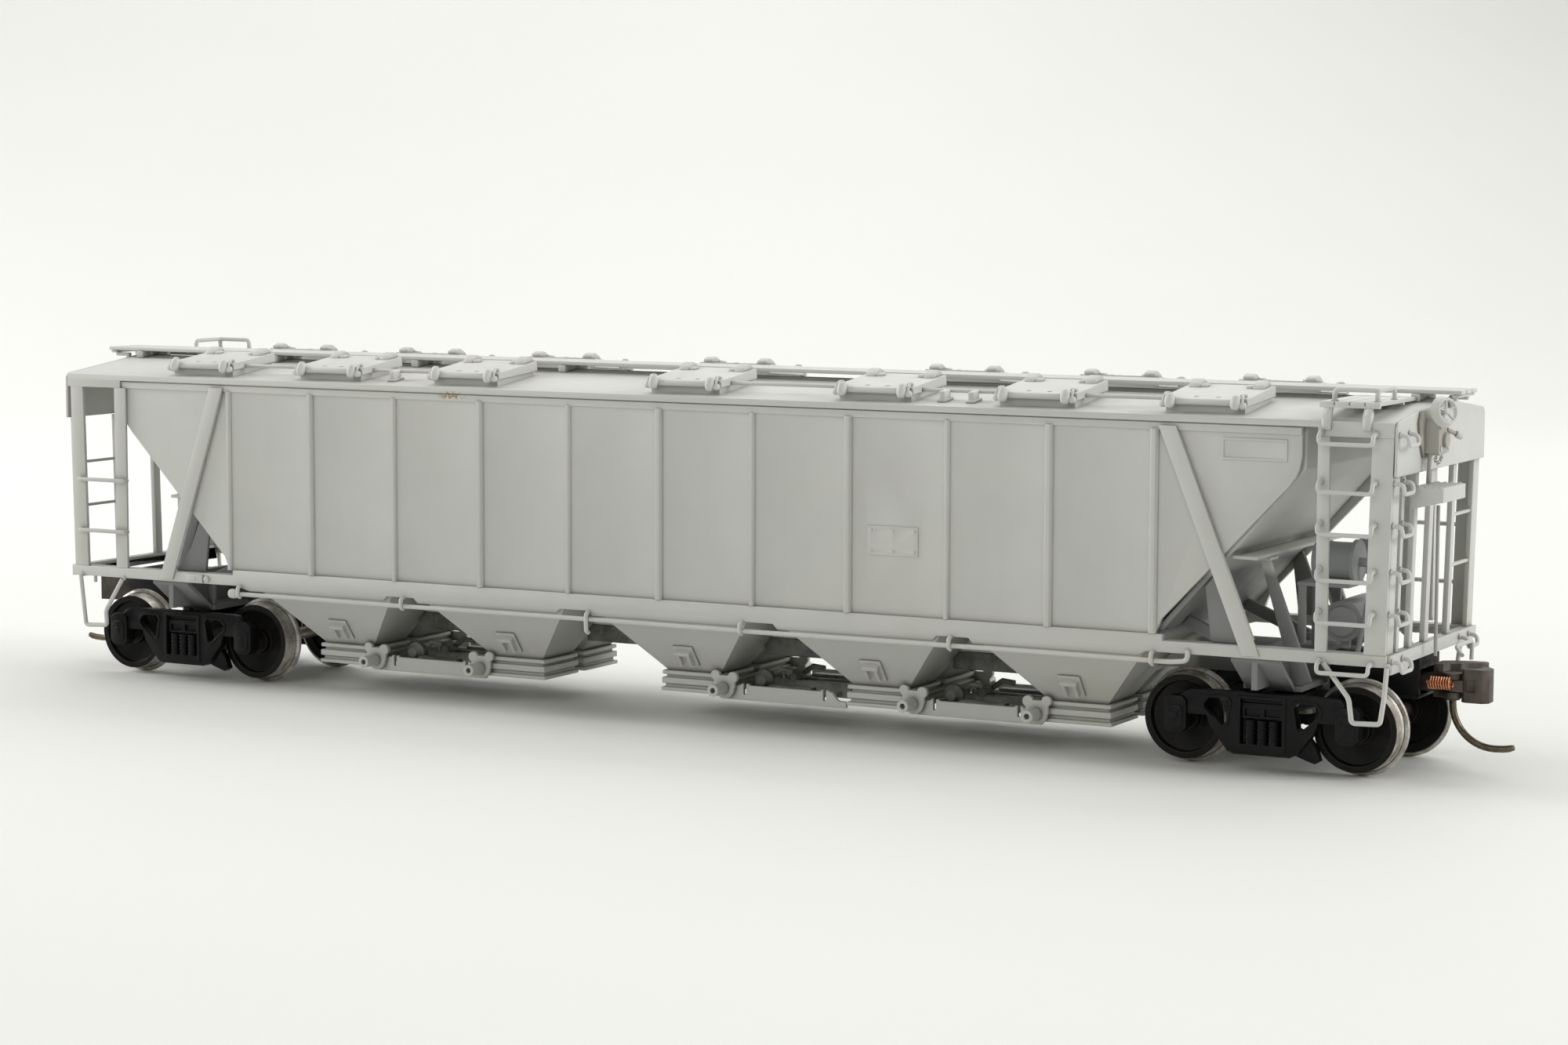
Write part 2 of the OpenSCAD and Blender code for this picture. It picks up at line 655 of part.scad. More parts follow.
// Gear housing, its backing bracket, the chain rod and the long rod below it.
module brake_gear_box() {
    x0 = plate_face + 0.02;
    color(paint) {
        end_shape(x0, x0 + 0.3) polygon([
            [-9.1, 39.4], [-8.4, 40.6], [-2.8, 40.6], [-2.8, 35.6], [-6, 35.4], [-7.4, 35.4],
            [-8.6, 37.2]]);
        end_shape(x0 + 0.25, 92.2) polygon([
            [-7.4, 36], [-6.9, 35.7], [-3.9, 35.9], [-3.5, 36.2], [-3.6, 38.2], [-4.4, 39.4],
            [-5.2, 39.7], [-6.9, 39.7], [-7.4, 39.2]]);
        translate([92.1, -5.4, 37.3]) rotate([0, 90, 0]) cylinder(h = 0.5, d = 1.6, $fn = 32);
        rod([92.1, -4.4, 38.4], [93, -2.2, 37.6], 0.5);
        rod([91.1, -7, 35.9], [91.1, -7.4, 32.72], 0.45);
        rod([91.2, -3.9, 30], [91.2, -3.9, 13.4], 0.4);
    }
}

// Studded step for the person working the brake: deck, skirts and studs.
module brake_platform() {
    x0 = plate_face + 0.02;
    color(paint) {
        block(x0, 94, -11.1, -3.3, 31.9, 32.5);
        block(93.6, 94, -11.1, -3.3, 30.95, 32);
        for (y = [-11.1, -3.65]) side_shape(y, y + 0.35)
            polygon([[x0, 30.1], [94, 31], [94, 32], [x0, 32]]);
        for (i = [0 : 3]) for (j = [0 : 8])
            translate([91.05 + i * 0.82, -10.6 + j * 0.85, 32.45]) cylinder(h = 0.18, d = 0.4, $fn = 16);
    }
}

module brake_cylinder() {
    color(paint) {
        translate([77.8, -5, 23.4]) rotate([0, 90, 0]) cylinder(h = 4.4, d = 4.3, $fn = 48);
        translate([82.2, -5, 23.4]) rotate([0, 90, 0]) cylinder(h = 0.5, d = 5, $fn = 48);
        translate([82.7, -5, 23.4]) rotate([0, 90, 0]) cylinder(h = 2.3, d = 1, $fn = 24);
        block(76.4, 82.4, -7.6, -2.4, 20.7, 21.1);
        block(78.2, 81.8, -5.6, -4.4, 21.05, 21.6);
        rod([84.6, -5, 23.4], [82.4, -5, 12], 0.6);
        side_shape(-7.5, -7.1) polygon([[76.5, 21], [77.4, 21], [77.4, 14.3], [76.5, 14.3]]);
        side_shape(-2.9, -2.5) polygon([[76.5, 21], [77.4, 21], [77.4, 13.4], [76.5, 13.4]]);
    }
}

module air_reservoir() {
    color(paint) {
        translate([80.6, 0, 16.6]) rotate([90, 0, 0]) cylinder(h = 8.6, d = 4.6, center = true, $fn = 48);
        translate([80.6, 0, 16.6]) rotate([90, 0, 0]) cylinder(h = 9.6, d = 3.4, center = true, $fn = 48);
        for (y = [-3, 3]) block(80.1, 81.1, y - 0.4, y + 0.4, 13.42, 14.5);
    }
}

module control_valve() {
    color(paint) {
        block(79.2, 81.6, 3.2, 5.4, 21.6, 24.4);
        translate([80.4, 4.3, 24.3]) cylinder(h = 0.9, d = 1.8, $fn = 32);
        translate([81.5, 4.3, 22.9]) rotate([0, 90, 0]) cylinder(h = 0.9, d = 1.6, $fn = 32);
        block(76.4, 81.8, 2.9, 5.7, 21.2, 21.62);
        side_shape(4.1, 4.5) polygon([[76.5, 21.3], [77.4, 21.3], [77.4, 13.4], [76.5, 13.4]]);
        rod([79, 3.25, 22.8], [79, -2.2, 23.2], 0.4);
    }
}

// ---------- coupler pockets ----------

module draft_boxes() {
    px = coupler_pivot_x;
    color(black) both_ends() {
        difference() {
            block(79, 89.3, -3.6, 3.6, 8.85, 12.9);
            block(79.6, 90, -3, 3, 8, 11.6);
        }
        translate([px, 0, 8.87]) cylinder(h = 2.8, r = 1.2, $fn = 32);
    }
}

// Bottom lid of each pocket with its fixing screw.
module draft_lids() {
    px = coupler_pivot_x;
    color(black) both_ends() {
        block(79, 89.3, -3.6, 3.6, 8.4, 8.84);
        translate([px, 0, 8.05]) cylinder(h = 0.4, d = 2.4, $fn = 32);
    }
}

module truck_screws() {
    color(steel) both_ends() difference() {
        translate([truck_x, 0, 0]) union() {
            translate([0, 0, 5.4]) cylinder(h = 0.75, d = 3.6, $fn = 32);
            translate([0, 0, 6.1]) cylinder(h = 6.3, d = 2, $fn = 32);
        }
        block(truck_x - 2, truck_x + 2, -0.2, 0.2, 5.2, 5.7);
    }
}

// ---------- trucks ----------

module frame_outline() {
    difference() {
        both_ends() polygon([
            [-0.01, 2.1], [3.3, 2.1], [4, 2.4], [6.1, 5], [6.5, 6.2], [9.65, 6.2], [9.65, 8.2],
            [9, 8.8], [8.3, 9], [-0.01, 9]]);
        both_ends() window(0.3);
        translate([-2.45, 3.3]) square([4.9, 5.05]);
    }
}

// Opening beside the spring nest, or the outline of the rim round it when inset is 0.
module window(inset) {
    polygon([[7.08 - inset, 7.63 - inset / 2], [6.36 - inset / 2, 8.48 - inset],
             [3.95 + inset / 2, 8.56 - inset], [3.48 + inset, 7.9 - inset / 2],
             [3.9 + inset, 5.24 + inset / 2], [4.63, 4.83 + inset * 1.2], [6.88 - inset, 6.77 + inset / 3]]);
}

// Eight-sided journal box.
module box_outline(half, low, high, cut) {
    polygon([[-half, low + cut], [cut - half, low], [half - cut, low], [half, low + cut],
             [half, high - cut], [half - cut, high], [cut - half, high], [-half, high - cut]]);
}

// One cast side frame on the -Y side: sprung nest, journal boxes and brake shoe.
module side_frame() {
    difference() {
        union() {
            side_shape(-12.3, -11.05) frame_outline();
            side_shape(-12.5, -12.25) both_ends() difference() {
                window(0);
                window(0.3);
            }
            side_shape(-12.5, -12.25) difference() {
                translate([-2.85, 2.5]) square([5.7, 6.2]);
                translate([-2.45, 3.3]) square([4.9, 5.05]);
            }
            for (s = [-1, 1]) translate([s * axle_dx, 0, 0]) {
                side_shape(-12.9, -11.05) box_outline(1.3, 4.1, 8.2, 0.55);
                side_shape(-13.1, -12.85) box_outline(0.95, 4.5, 7.2, 0.4);
                translate([0, -12.85, 6]) rotate([90, 0, 0]) cylinder(h = 0.4, r = 0.4, $fn = 24);
            }
            block(-2.5, 2.5, -11.4, -11.05, 2.5, 6.05);
            for (x = [-1.35, 0, 1.35]) translate([x, -11.95, 3.25]) cylinder(h = 2.75, r = 0.58, $fn = 32);
            side_shape(-11.1, -10.1) polygon([
                [3.4, 2.3], [5.2, 4.2], [5.9, 3.3], [6.4, 1.8], [5.8, 1.45], [4.7, 1.8], [3.8, 2.1]]);
        }
        for (s = [-1, 1]) translate([s * axle_dx, -11, axle_z]) rotate([90, 0, 0])
            cylinder(h = 1.35, d = journal_d + 2 * fit_gap, $fn = 32);
    }
}

module truck_sides(x) {
    color(black) translate([x, 0, 0]) half_turn() side_frame();
}

module truck_bolster(x) {
    color(black) translate([x, 0, 0]) difference() {
        union() {
            block(-2.4, 2.4, -11.03, 11.03, 6.3, 8.3);
            both_sides() block(-2.4, 2.4, -12.1, -11, 6.1, 8.3);
            translate([0, 0, 8.2]) cylinder(h = 0.75, r = 2.7, $fn = 48);
        }
        translate([0, 0, 6]) cylinder(h = 4, d = 2 + 2 * fit_gap, $fn = 32);
        both_sides() for (s = [-1, 1]) block(s * 1.15 - 0.9, s * 1.15 + 0.9, -12.6, -11.6, 6.45, 7.25);
        both_sides() block(-3, 3, -12.6, -11.9, 7.88, 8.02);
    }
}

module truck_sides_a() { truck_sides(-truck_x); }

module truck_sides_b() { truck_sides(truck_x); }

module truck_bolster_a() { truck_bolster(-truck_x); }

module truck_bolster_b() { truck_bolster(truck_x); }

module axle(x) {
    color(steel) translate([x, 0, axle_z]) rotate([90, 0, 0]) {
        cylinder(h = 21.6, d = axle_d, center = true, $fn = 32);
        cylinder(h = 24.4, d = journal_d, center = true, $fn = 32);
    }
}

module wheels(x) {
    bore = axle_d / 2;
    color(steel) translate([x, 0, axle_z]) both_sides() rotate([90, 0, 0]) rotate_extrude($fn = 96)
        polygon([[bore, 7.4], [1.5, 7.4], [1.7, 8], [3.8, 7.8], [4, 7.2], [5.1, 7.2],
                 [flange_r, 7.5], [flange_r - 0.1, 7.8], [tread_r + 0.12, 8.05], [tread_r, 8.4],
                 [tread_r - 0.05, 10], [4.1, 10], [3.9, 9.3], [1.7, 8.9], [1.5, 9.7], [bore, 9.7]]);
}

module axle_a1() { axle(-truck_x - axle_dx); }

module axle_a2() { axle(axle_dx - truck_x); }

module axle_b1() { axle(truck_x + axle_dx); }

module axle_b2() { axle(truck_x - axle_dx); }

module wheels_a1() { wheels(-truck_x - axle_dx); }

module wheels_a2() { wheels(axle_dx - truck_x); }

module wheels_b1() { wheels(truck_x + axle_dx); }

module wheels_b2() { wheels(truck_x - axle_dx); }

// ---------- couplers, drawn for the +X end ----------

knuckle_pin = [92.6, -1.7];

module level(z0, z1) {
    translate([0, 0, z0]) linear_extrude(z1 - z0) children();
}

module coupler() {
    z = coupler_z;
    px = coupler_pivot_x;
    difference() {
        union() {
            level(z - 0.9, z + 0.9) {
                translate([px, 0]) circle(r = 2.2, $fn = 48);
                translate([px, -1.3]) square([91.6 - px, 2.6]);
            }
            level(z - 1.5, z + 2.2)
                polygon([[90.2, -1.3], [91.3, -1.3], [91.8, -0.3], [92.9, 0.2], [93.4, 1.2], [94.7, 2],
                         [95.3, 2.7], [94.9, 3.2], [93.2, 3], [91.2, 2.3], [90.2, 1.6]]);
            for (s = [-1, 1]) level(z + s * 1.05 - 0.35, z + s * 1.05 + 0.35) {
                translate(knuckle_pin) circle(r = 1, $fn = 32);
                polygon([[90.4, -1.2], [92.4, -2.68], [93.2, -0.9], [92.2, 0], [90.6, 0]]);
            }
            translate([knuckle_pin[0], knuckle_pin[1], z - 0.8]) cylinder(h = 1.6, r = 0.45, $fn = 24);
            level(z - 2, z - 1.4) translate([91.8, 0.9]) circle(r = 0.8, $fn = 32);
        }
        translate([px, 0, z - 3]) cylinder(h = 6, r = 1.2 + fit_gap, $fn = 32);
    }
}

module trip_pin() {
    turn = 4.8;
    start = coupler_z - 2.35;
    d = 0.85;
    translate([91.8, 0.9, start]) {
        cylinder(h = 0.34, d = d, $fn = 24);
        translate([turn, 0, 0]) rotate([90, 0, 0]) rotate([0, 0, 180])
            rotate_extrude(angle = 90, $fn = 64) translate([turn, 0]) circle(d = d, $fn = 24);
        translate([turn, 0, -turn]) rotate([0, 90, 0]) cylinder(h = 2.3, d = d, $fn = 24);
    }
}

// Hooked jaw that turns on its pin at the side of the coupler head.
module knuckle() {
    z = coupler_z;
    difference() {
        union() {
            level(z - 1.75, z + 1.95)
                polygon([[93.68, -2.1], [94.1, -2.5], [96.1, -2.5], [96.75, -1.9], [96.75, -0.3], [96, 0.7],
                         [95.2, 0.7], [95.35, -0.4], [94.9, -1.3], [93.68, -1.5]]);
            level(z - 0.65, z + 0.65) {
                translate(knuckle_pin) circle(r = 0.85, $fn = 32);
                translate([knuckle_pin[0], -2.4]) square([1.3, 0.9]);
            }
        }
        block(94.2, 95.3, -3, -2.2, 9.4, 10.7);
        translate([knuckle_pin[0], knuckle_pin[1], z - 3]) cylinder(h = 6, r = 0.5, $fn = 24);
    }
}

// Tube outline of the coiled spring that closes the jaw.
module knuckle_spring() {
    translate([90.4, -3.47, coupler_z + 0.4]) rotate([0, 90, 0]) difference() {
        cylinder(h = 2.6, d = 1.5, $fn = 32);
        translate([0, 0, -1]) cylinder(h = 5, d = 0.9, $fn = 32);
    }
}

module coupler_b() { color(steel) coupler(); }

module coupler_a() { color(steel) rotate([0, 0, 180]) coupler(); }

module trip_pin_b() { color(steel) trip_pin(); }

module trip_pin_a() { color(steel) rotate([0, 0, 180]) trip_pin(); }

module knuckle_b() { color(steel) knuckle(); }

module knuckle_a() { color(steel) rotate([0, 0, 180]) knuckle(); }

module knuckle_spring_b() { color(copper) knuckle_spring(); }

module knuckle_spring_a() { color(copper) rotate([0, 0, 180]) knuckle_spring(); }

// ---------- nodes ----------

side_wall_right();
side_wall_left();
side_sills();
end_plates();
corner_posts();
diagonal_posts();
end_posts();
end_sills();
centre_sill();
body_bolsters();
slope_sheets();
end_framing();
hopper_bays();
outlet_frames();
outlet_gates();
gate_rails();
gate_shafts();
shaft_brackets();
bay_brackets();
roof();
hatch_covers();
hatch_fittings();
hatch_rods();
running_board();
board_saddles();
lateral_boards();
grab_irons();
stirrups();
train_pipe();
pipe_hangers();
uncoupling_levers();
brake_wheel();
brake_gear_box();
brake_platform();
brake_cylinder();
air_reservoir();
control_valve();
draft_boxes();
draft_lids();
truck_screws();
truck_sides_a();
truck_sides_b();
truck_bolster_a();
truck_bolster_b();
axle_a1();
axle_a2();
axle_b1();
axle_b2();
wheels_a1();
wheels_a2();
wheels_b1();
wheels_b2();
coupler_a();
coupler_b();
trip_pin_a();
trip_pin_b();
knuckle_a();
knuckle_b();
knuckle_spring_a();
knuckle_spring_b();
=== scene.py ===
import bpy
import bmesh
import json
import math
from mathutils import Matrix, Vector

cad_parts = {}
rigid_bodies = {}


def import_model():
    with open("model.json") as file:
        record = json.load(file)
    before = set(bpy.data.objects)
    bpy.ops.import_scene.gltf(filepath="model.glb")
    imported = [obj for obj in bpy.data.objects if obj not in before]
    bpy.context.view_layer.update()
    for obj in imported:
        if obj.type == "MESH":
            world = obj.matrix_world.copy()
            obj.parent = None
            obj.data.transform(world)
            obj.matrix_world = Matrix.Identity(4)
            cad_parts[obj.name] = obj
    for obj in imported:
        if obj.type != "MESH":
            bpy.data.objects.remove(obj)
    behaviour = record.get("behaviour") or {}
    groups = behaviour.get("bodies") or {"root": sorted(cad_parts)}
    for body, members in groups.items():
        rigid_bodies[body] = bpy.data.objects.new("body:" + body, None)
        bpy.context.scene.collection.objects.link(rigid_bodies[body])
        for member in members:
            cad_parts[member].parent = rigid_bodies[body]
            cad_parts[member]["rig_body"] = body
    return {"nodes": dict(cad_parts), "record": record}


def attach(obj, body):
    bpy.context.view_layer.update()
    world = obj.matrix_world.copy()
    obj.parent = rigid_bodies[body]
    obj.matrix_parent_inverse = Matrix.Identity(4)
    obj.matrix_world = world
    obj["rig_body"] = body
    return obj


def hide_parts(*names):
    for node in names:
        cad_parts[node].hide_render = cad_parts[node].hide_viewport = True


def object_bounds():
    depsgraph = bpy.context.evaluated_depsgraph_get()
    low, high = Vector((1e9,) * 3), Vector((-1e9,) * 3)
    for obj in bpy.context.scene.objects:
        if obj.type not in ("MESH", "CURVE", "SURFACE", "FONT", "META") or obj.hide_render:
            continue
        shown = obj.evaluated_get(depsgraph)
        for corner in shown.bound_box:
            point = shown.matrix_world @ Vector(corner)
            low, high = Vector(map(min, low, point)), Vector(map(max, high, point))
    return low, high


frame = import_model()
cad_low, cad_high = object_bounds()
MM = 0.001
RAY_SAMPLES = 6         # rays of the corner and edge nodes


# ---------------------------------------------------------------- node materials

class Nodes:
    """Short hand for building a node material."""

    def __init__(self, name):
        self.material = bpy.data.materials.new(name)
        self.material.use_nodes = True
        self.tree = self.material.node_tree
        self.surface = self.tree.nodes["Principled BSDF"]
        self.place = self.add("ShaderNodeTexCoord").outputs["Object"]

    def add(self, kind, **settings):
        made = self.tree.nodes.new(kind)
        for key, value in settings.items():
            setattr(made, key, value)
        return made

    def put(self, value, socket):
        if hasattr(value, "is_linked"):
            self.tree.links.new(value, socket)
        else:
            socket.default_value = value

    def noise(self, per_mm, detail=3.0, rough=0.55, stretch=(1, 1, 1), distort=0.0):
        mapping = self.add("ShaderNodeMapping")
        mapping.inputs["Scale"].default_value = stretch
        self.put(self.place, mapping.inputs["Vector"])
        made = self.add("ShaderNodeTexNoise")
        self.put(mapping.outputs[0], made.inputs["Vector"])
        made.inputs["Scale"].default_value = per_mm / MM
        made.inputs["Detail"].default_value = detail
        made.inputs["Roughness"].default_value = rough
        made.inputs["Distortion"].default_value = distort
        return made.outputs["Fac"]

    def ramp(self, value, low, high, a=0.0, b=1.0):
        made = self.add("ShaderNodeMapRange")
        made.interpolation_type = "SMOOTHSTEP"
        self.put(value, made.inputs["Value"])
        for key, number in (("From Min", low), ("From Max", high), ("To Min", a), ("To Max", b)):
            made.inputs[key].default_value = number
        return made.outputs["Result"]

    def math(self, operation, a, b=0.0):
        made = self.add("ShaderNodeMath", operation=operation)
        self.put(a, made.inputs[0])
        self.put(b, made.inputs[1])
        return made.outputs[0]

    def mix(self, amount, a, b):
        made = self.add("ShaderNodeMix", data_type="RGBA")
        self.put(amount, made.inputs["Factor"])
        for value, socket in ((a, made.inputs["A"]), (b, made.inputs["B"])):
            self.put(value if hasattr(value, "is_linked") else (*value, 1.0), socket)
        return made.outputs["Result"]

    def axis(self, index):
        made = self.add("ShaderNodeSeparateXYZ")
        self.put(self.place, made.inputs[0])
        return made.outputs[index]

    def crevice(self, distance_mm):
        """1 on open faces, 0 deep in a corner."""
        made = self.add("ShaderNodeAmbientOcclusion")
        made.inputs["Distance"].default_value = distance_mm * MM
        made.samples = RAY_SAMPLES
        return made.outputs["AO"]

    def round_normal(self, radius_mm):
        """The surface normal as if sharp edges were rounded over."""
        made = self.add("ShaderNodeBevel")
        made.samples = RAY_SAMPLES
        made.inputs["Radius"].default_value = radius_mm * MM
        return made.outputs[0]

    def true_normal(self, index):
        """One coordinate of the flat normal of the face."""
        made = self.add("ShaderNodeSeparateXYZ")
        self.put(self.add("ShaderNodeNewGeometry").outputs["True Normal"], made.inputs[0])
        return made.outputs[index]

    def edge(self, radius_mm):
        """1 on sharp convex or concave edges, 0 on flats."""
        real = self.add("ShaderNodeNewGeometry")
        dot = self.add("ShaderNodeVectorMath", operation="DOT_PRODUCT")
        self.put(self.round_normal(radius_mm), dot.inputs[0])
        self.put(real.outputs["Normal"], dot.inputs[1])
        return self.ramp(dot.outputs["Value"], 0.995, 0.9)

    def bump(self, height, strength, distance_mm, round_mm=0.0):
        made = self.add("ShaderNodeBump")
        made.inputs["Strength"].default_value = strength
        made.inputs["Distance"].default_value = distance_mm * MM
        self.put(height, made.inputs["Height"])
        if round_mm:
            self.put(self.round_normal(round_mm), made.inputs["Normal"])
        self.put(made.outputs[0], self.surface.inputs["Normal"])

    def finish(self, color, rough, metallic=0.0, specular=0.5):
        self.put(color, self.surface.inputs["Base Color"])
        self.put(rough, self.surface.inputs["Roughness"])
        self.put(metallic, self.surface.inputs["Metallic"])
        self.surface.inputs["Specular IOR Level"].default_value = specular
        return self.material


def grade(color, factor):
    return tuple(c * factor for c in color)


# Rusty chips on the top band of the near side. Their patch is round before X is squeezed.
CHIP_SQUEEZE = 0.3
CHIP_PLACE = (-30.2 * CHIP_SQUEEZE * MM, -15.3 * MM, 38.7 * MM)
RUST = (0.3, 0.16, 0.05)
# Where the hopper bays end (distance from the middle), the top of the parts under the ends, and
# the distance from the middle line at which the outer gate rails begin, in millimetres.
BAYS_END = (62.0, 63.2)
UNDER_ENDS = (21.6, 22.8)
RAIL_Y = (7.6, 8.1)


def make_paint(name, base, warm, rough=0.46, grime_and_shade=0.5, shade=None):
    """Sprayed model paint: mottled and streaked, with dust and painted shade in corners, worn edges with a
    painted highlight, and rusty chips.
    """
    n = Nodes(name)
    cloud = n.ramp(n.noise(0.05, 4.0, 0.6), 0.3, 0.7)
    color = n.mix(cloud, grade(base, 0.96), grade(base, 1.03))
    stain = n.ramp(n.noise(0.025, 5.0, 0.65, (1, 1, 1.6), 0.6), 0.52, 0.74)
    color = n.mix(n.math("MULTIPLY", stain, 0.28), color, warm)
    streak = n.ramp(n.noise(0.5, 3.0, 0.6, (1.0, 1.0, 0.08)), 0.5, 0.78)
    color = n.mix(n.math("MULTIPLY", streak, 0.1 * grime_and_shade), color, grade(base, 0.72))
    speck = n.ramp(n.noise(1.6, 2.0, 0.5), 0.7, 0.78)
    color = n.mix(n.math("MULTIPLY", speck, 0.12), color, grade(base, 0.6))
    # Dust and painted shade: darker in corners and creases, as far as the occlusion rays find walls.
    corner_dust_and_shade = n.ramp(n.crevice(0.9), 0.35, 0.95, 1.0, 0.0)
    color = n.mix(n.math("MULTIPLY", corner_dust_and_shade, grime_and_shade), color, grade(warm, 0.38))
    # Worn edges and a painted highlight: sharp edges are lightened.
    wear_and_highlight = n.math("MULTIPLY", n.edge(0.1), n.ramp(n.noise(0.7, 3.0), 0.35, 0.7))
    color = n.mix(n.math("MULTIPLY", wear_and_highlight, 0.35), color, grade(base, 1.22))
    reach = n.add("ShaderNodeVectorMath", operation="DISTANCE")
    stretched = n.add("ShaderNodeMapping")
    stretched.inputs["Scale"].default_value = (CHIP_SQUEEZE, 1, 1)
    n.put(n.place, stretched.inputs["Vector"])
    n.put(stretched.outputs[0], reach.inputs[0])
    reach.inputs[1].default_value = CHIP_PLACE
    chip = n.math("MULTIPLY", n.ramp(reach.outputs["Value"], 0.2 * MM, 0.75 * MM, 1.0, 0.0),
                  n.ramp(n.noise(2.2, 3.0, 0.6), 0.46, 0.54))
    color = n.mix(n.math("MULTIPLY", chip, 0.85), color, RUST)
    if shade:
        color = shade(n, color)
    tone = n.ramp(n.noise(0.35, 4.0, 0.6), 0.25, 0.75, rough - 0.07, rough + 0.1)
    grain = n.math("ADD", n.noise(5.0, 3.0, 0.6), n.math("MULTIPLY", n.noise(0.4, 2.0), 1.5))
    n.bump(grain, 0.35, 0.012, 0.07)
    return n.finish(color, tone, specular=0.45)


def under_shade(n, color):
    """Painted shade: darker crosswise faces of the bays, and darker parts under the ends."""
    # Painted shade on the crosswise faces between the bays.
    along = n.ramp(n.math("ABSOLUTE", n.true_normal(0)), 0.5, 0.62)
    near_middle = n.ramp(n.math("ABSOLUTE", n.axis(0)), *grade(BAYS_END, MM), 1.0, 0.0)
    crosswise_shade = n.math("MULTIPLY", along, near_middle)
    color = n.mix(n.math("MULTIPLY", crosswise_shade, 0.38), color, (0.16, 0.16, 0.15))
    # Painted shade on the parts under the ends, below the ledge.
    low = n.ramp(n.axis(2), *grade(UNDER_ENDS, MM), 1.0, 0.0)
    outer = n.math("SUBTRACT", 1.0, near_middle)
    return n.mix(n.math("MULTIPLY", n.math("MULTIPLY", low, outer), 0.72), color, (0.1, 0.105, 0.11))


def inner_shade(n, color):
    """Painted shade, darker in patches, on the working parts that lie behind the near rails and round the
    drains.
    """
    inner = n.ramp(n.axis(1), -RAIL_Y[1] * MM, -RAIL_Y[0] * MM)
    far = n.ramp(n.axis(1), RAIL_Y[0] * MM, RAIL_Y[1] * MM, 1.0, 0.0)
    both = n.math("MULTIPLY", inner, far)
    spread = n.ramp(n.noise(0.3, 4.0, 0.65), 0.3, 0.7, 0.6, 0.92)
    return n.mix(n.math("MULTIPLY", both, spread), color, (0.07, 0.068, 0.058))


def make_black_plastic(name, base, rough):
    n = Nodes(name)
    cloud = n.ramp(n.noise(0.25, 4.0, 0.6), 0.3, 0.72)
    color = n.mix(cloud, grade(base, 0.8), grade(base, 1.35))
    dust = n.ramp(n.noise(0.9, 4.0, 0.7), 0.58, 0.8)
    color = n.mix(n.math("MULTIPLY", dust, 0.05), color, (0.2, 0.19, 0.17))
    # Worn edges and a painted highlight: sharp edges are lightened strongly, standing for gloss along the
    # rims.
    wear_and_highlight = n.math("MULTIPLY", n.edge(0.14), n.ramp(n.noise(1.1, 3.0), 0.3, 0.65))
    color = n.mix(n.math("MULTIPLY", wear_and_highlight, 0.55), color, grade(base, 5))
    tone = n.ramp(n.noise(0.8, 4.0, 0.65), 0.25, 0.75, rough - 0.07, rough + 0.16)
    n.bump(n.noise(2.6, 3.0, 0.6), 0.3, 0.02, 0.14)
    return n.finish(color, tone, specular=0.2)


def make_metal(name, base, stain, rough, metallic=1.0, grain=3.0, pit=0.03):
    n = Nodes(name)
    cloud = n.ramp(n.noise(0.5, 5.0, 0.65), 0.3, 0.7)
    color = n.mix(cloud, base, stain)
    # Worn edges and a painted highlight: sharp edges are lightened.
    wear_and_highlight = n.math("MULTIPLY", n.edge(0.12), n.ramp(n.noise(1.3, 3.0), 0.3, 0.65))
    color = n.mix(n.math("MULTIPLY", wear_and_highlight, 0.6), color, grade(base, 2.2))
    tone = n.ramp(n.noise(grain, 4.0, 0.65), 0.25, 0.75, rough - 0.12, rough + 0.16)
    n.bump(n.noise(grain, 4.0, 0.65), 0.6, pit, 0.08)
    return n.finish(color, tone, metallic)


def make_wheel(name):
    """Blackened wheel: dark plate and hub, worn brown-grey tread with a bright running band."""
    n = Nodes(name)
    parts = n.add("ShaderNodeSeparateXYZ")
    n.put(n.add("ShaderNodeTexCoord").outputs["Generated"], parts.inputs[0])
    dx = n.math("SUBTRACT", parts.outputs[0], 0.5)
    dz = n.math("SUBTRACT", parts.outputs[2], 0.5)
    radius = n.math("SQRT", n.math("ADD", n.math("MULTIPLY", dx, dx), n.math("MULTIPLY", dz, dz)))
    around = n.ramp(n.math("ABSOLUTE", n.true_normal(1)), 0.9, 0.6)
    part = n.math("MULTIPLY", n.ramp(radius, 0.41, 0.43), around)
    flange = n.ramp(radius, 0.452, 0.47)
    part = n.math("MAXIMUM", part, n.math("MULTIPLY", flange, 0.75))
    cloud = n.ramp(n.noise(0.5, 5.0, 0.7), 0.3, 0.72)
    plate = n.mix(cloud, (0.006, 0.006, 0.006), (0.013, 0.012, 0.011))
    worn = n.mix(cloud, (0.36, 0.32, 0.27), (0.85, 0.83, 0.78))
    color = n.mix(part, plate, worn)
    color = n.mix(n.math("MULTIPLY", n.edge(0.1), 0.3), color, (0.3, 0.27, 0.22))
    tone = n.ramp(n.noise(1.2, 4.0, 0.6), 0.25, 0.75, 0.26, 0.48)
    n.bump(n.noise(2.0, 4.0, 0.65), 0.4, 0.02, 0.1)
    return n.finish(color, tone, n.math("MULTIPLY", part, 0.9), 0.16)


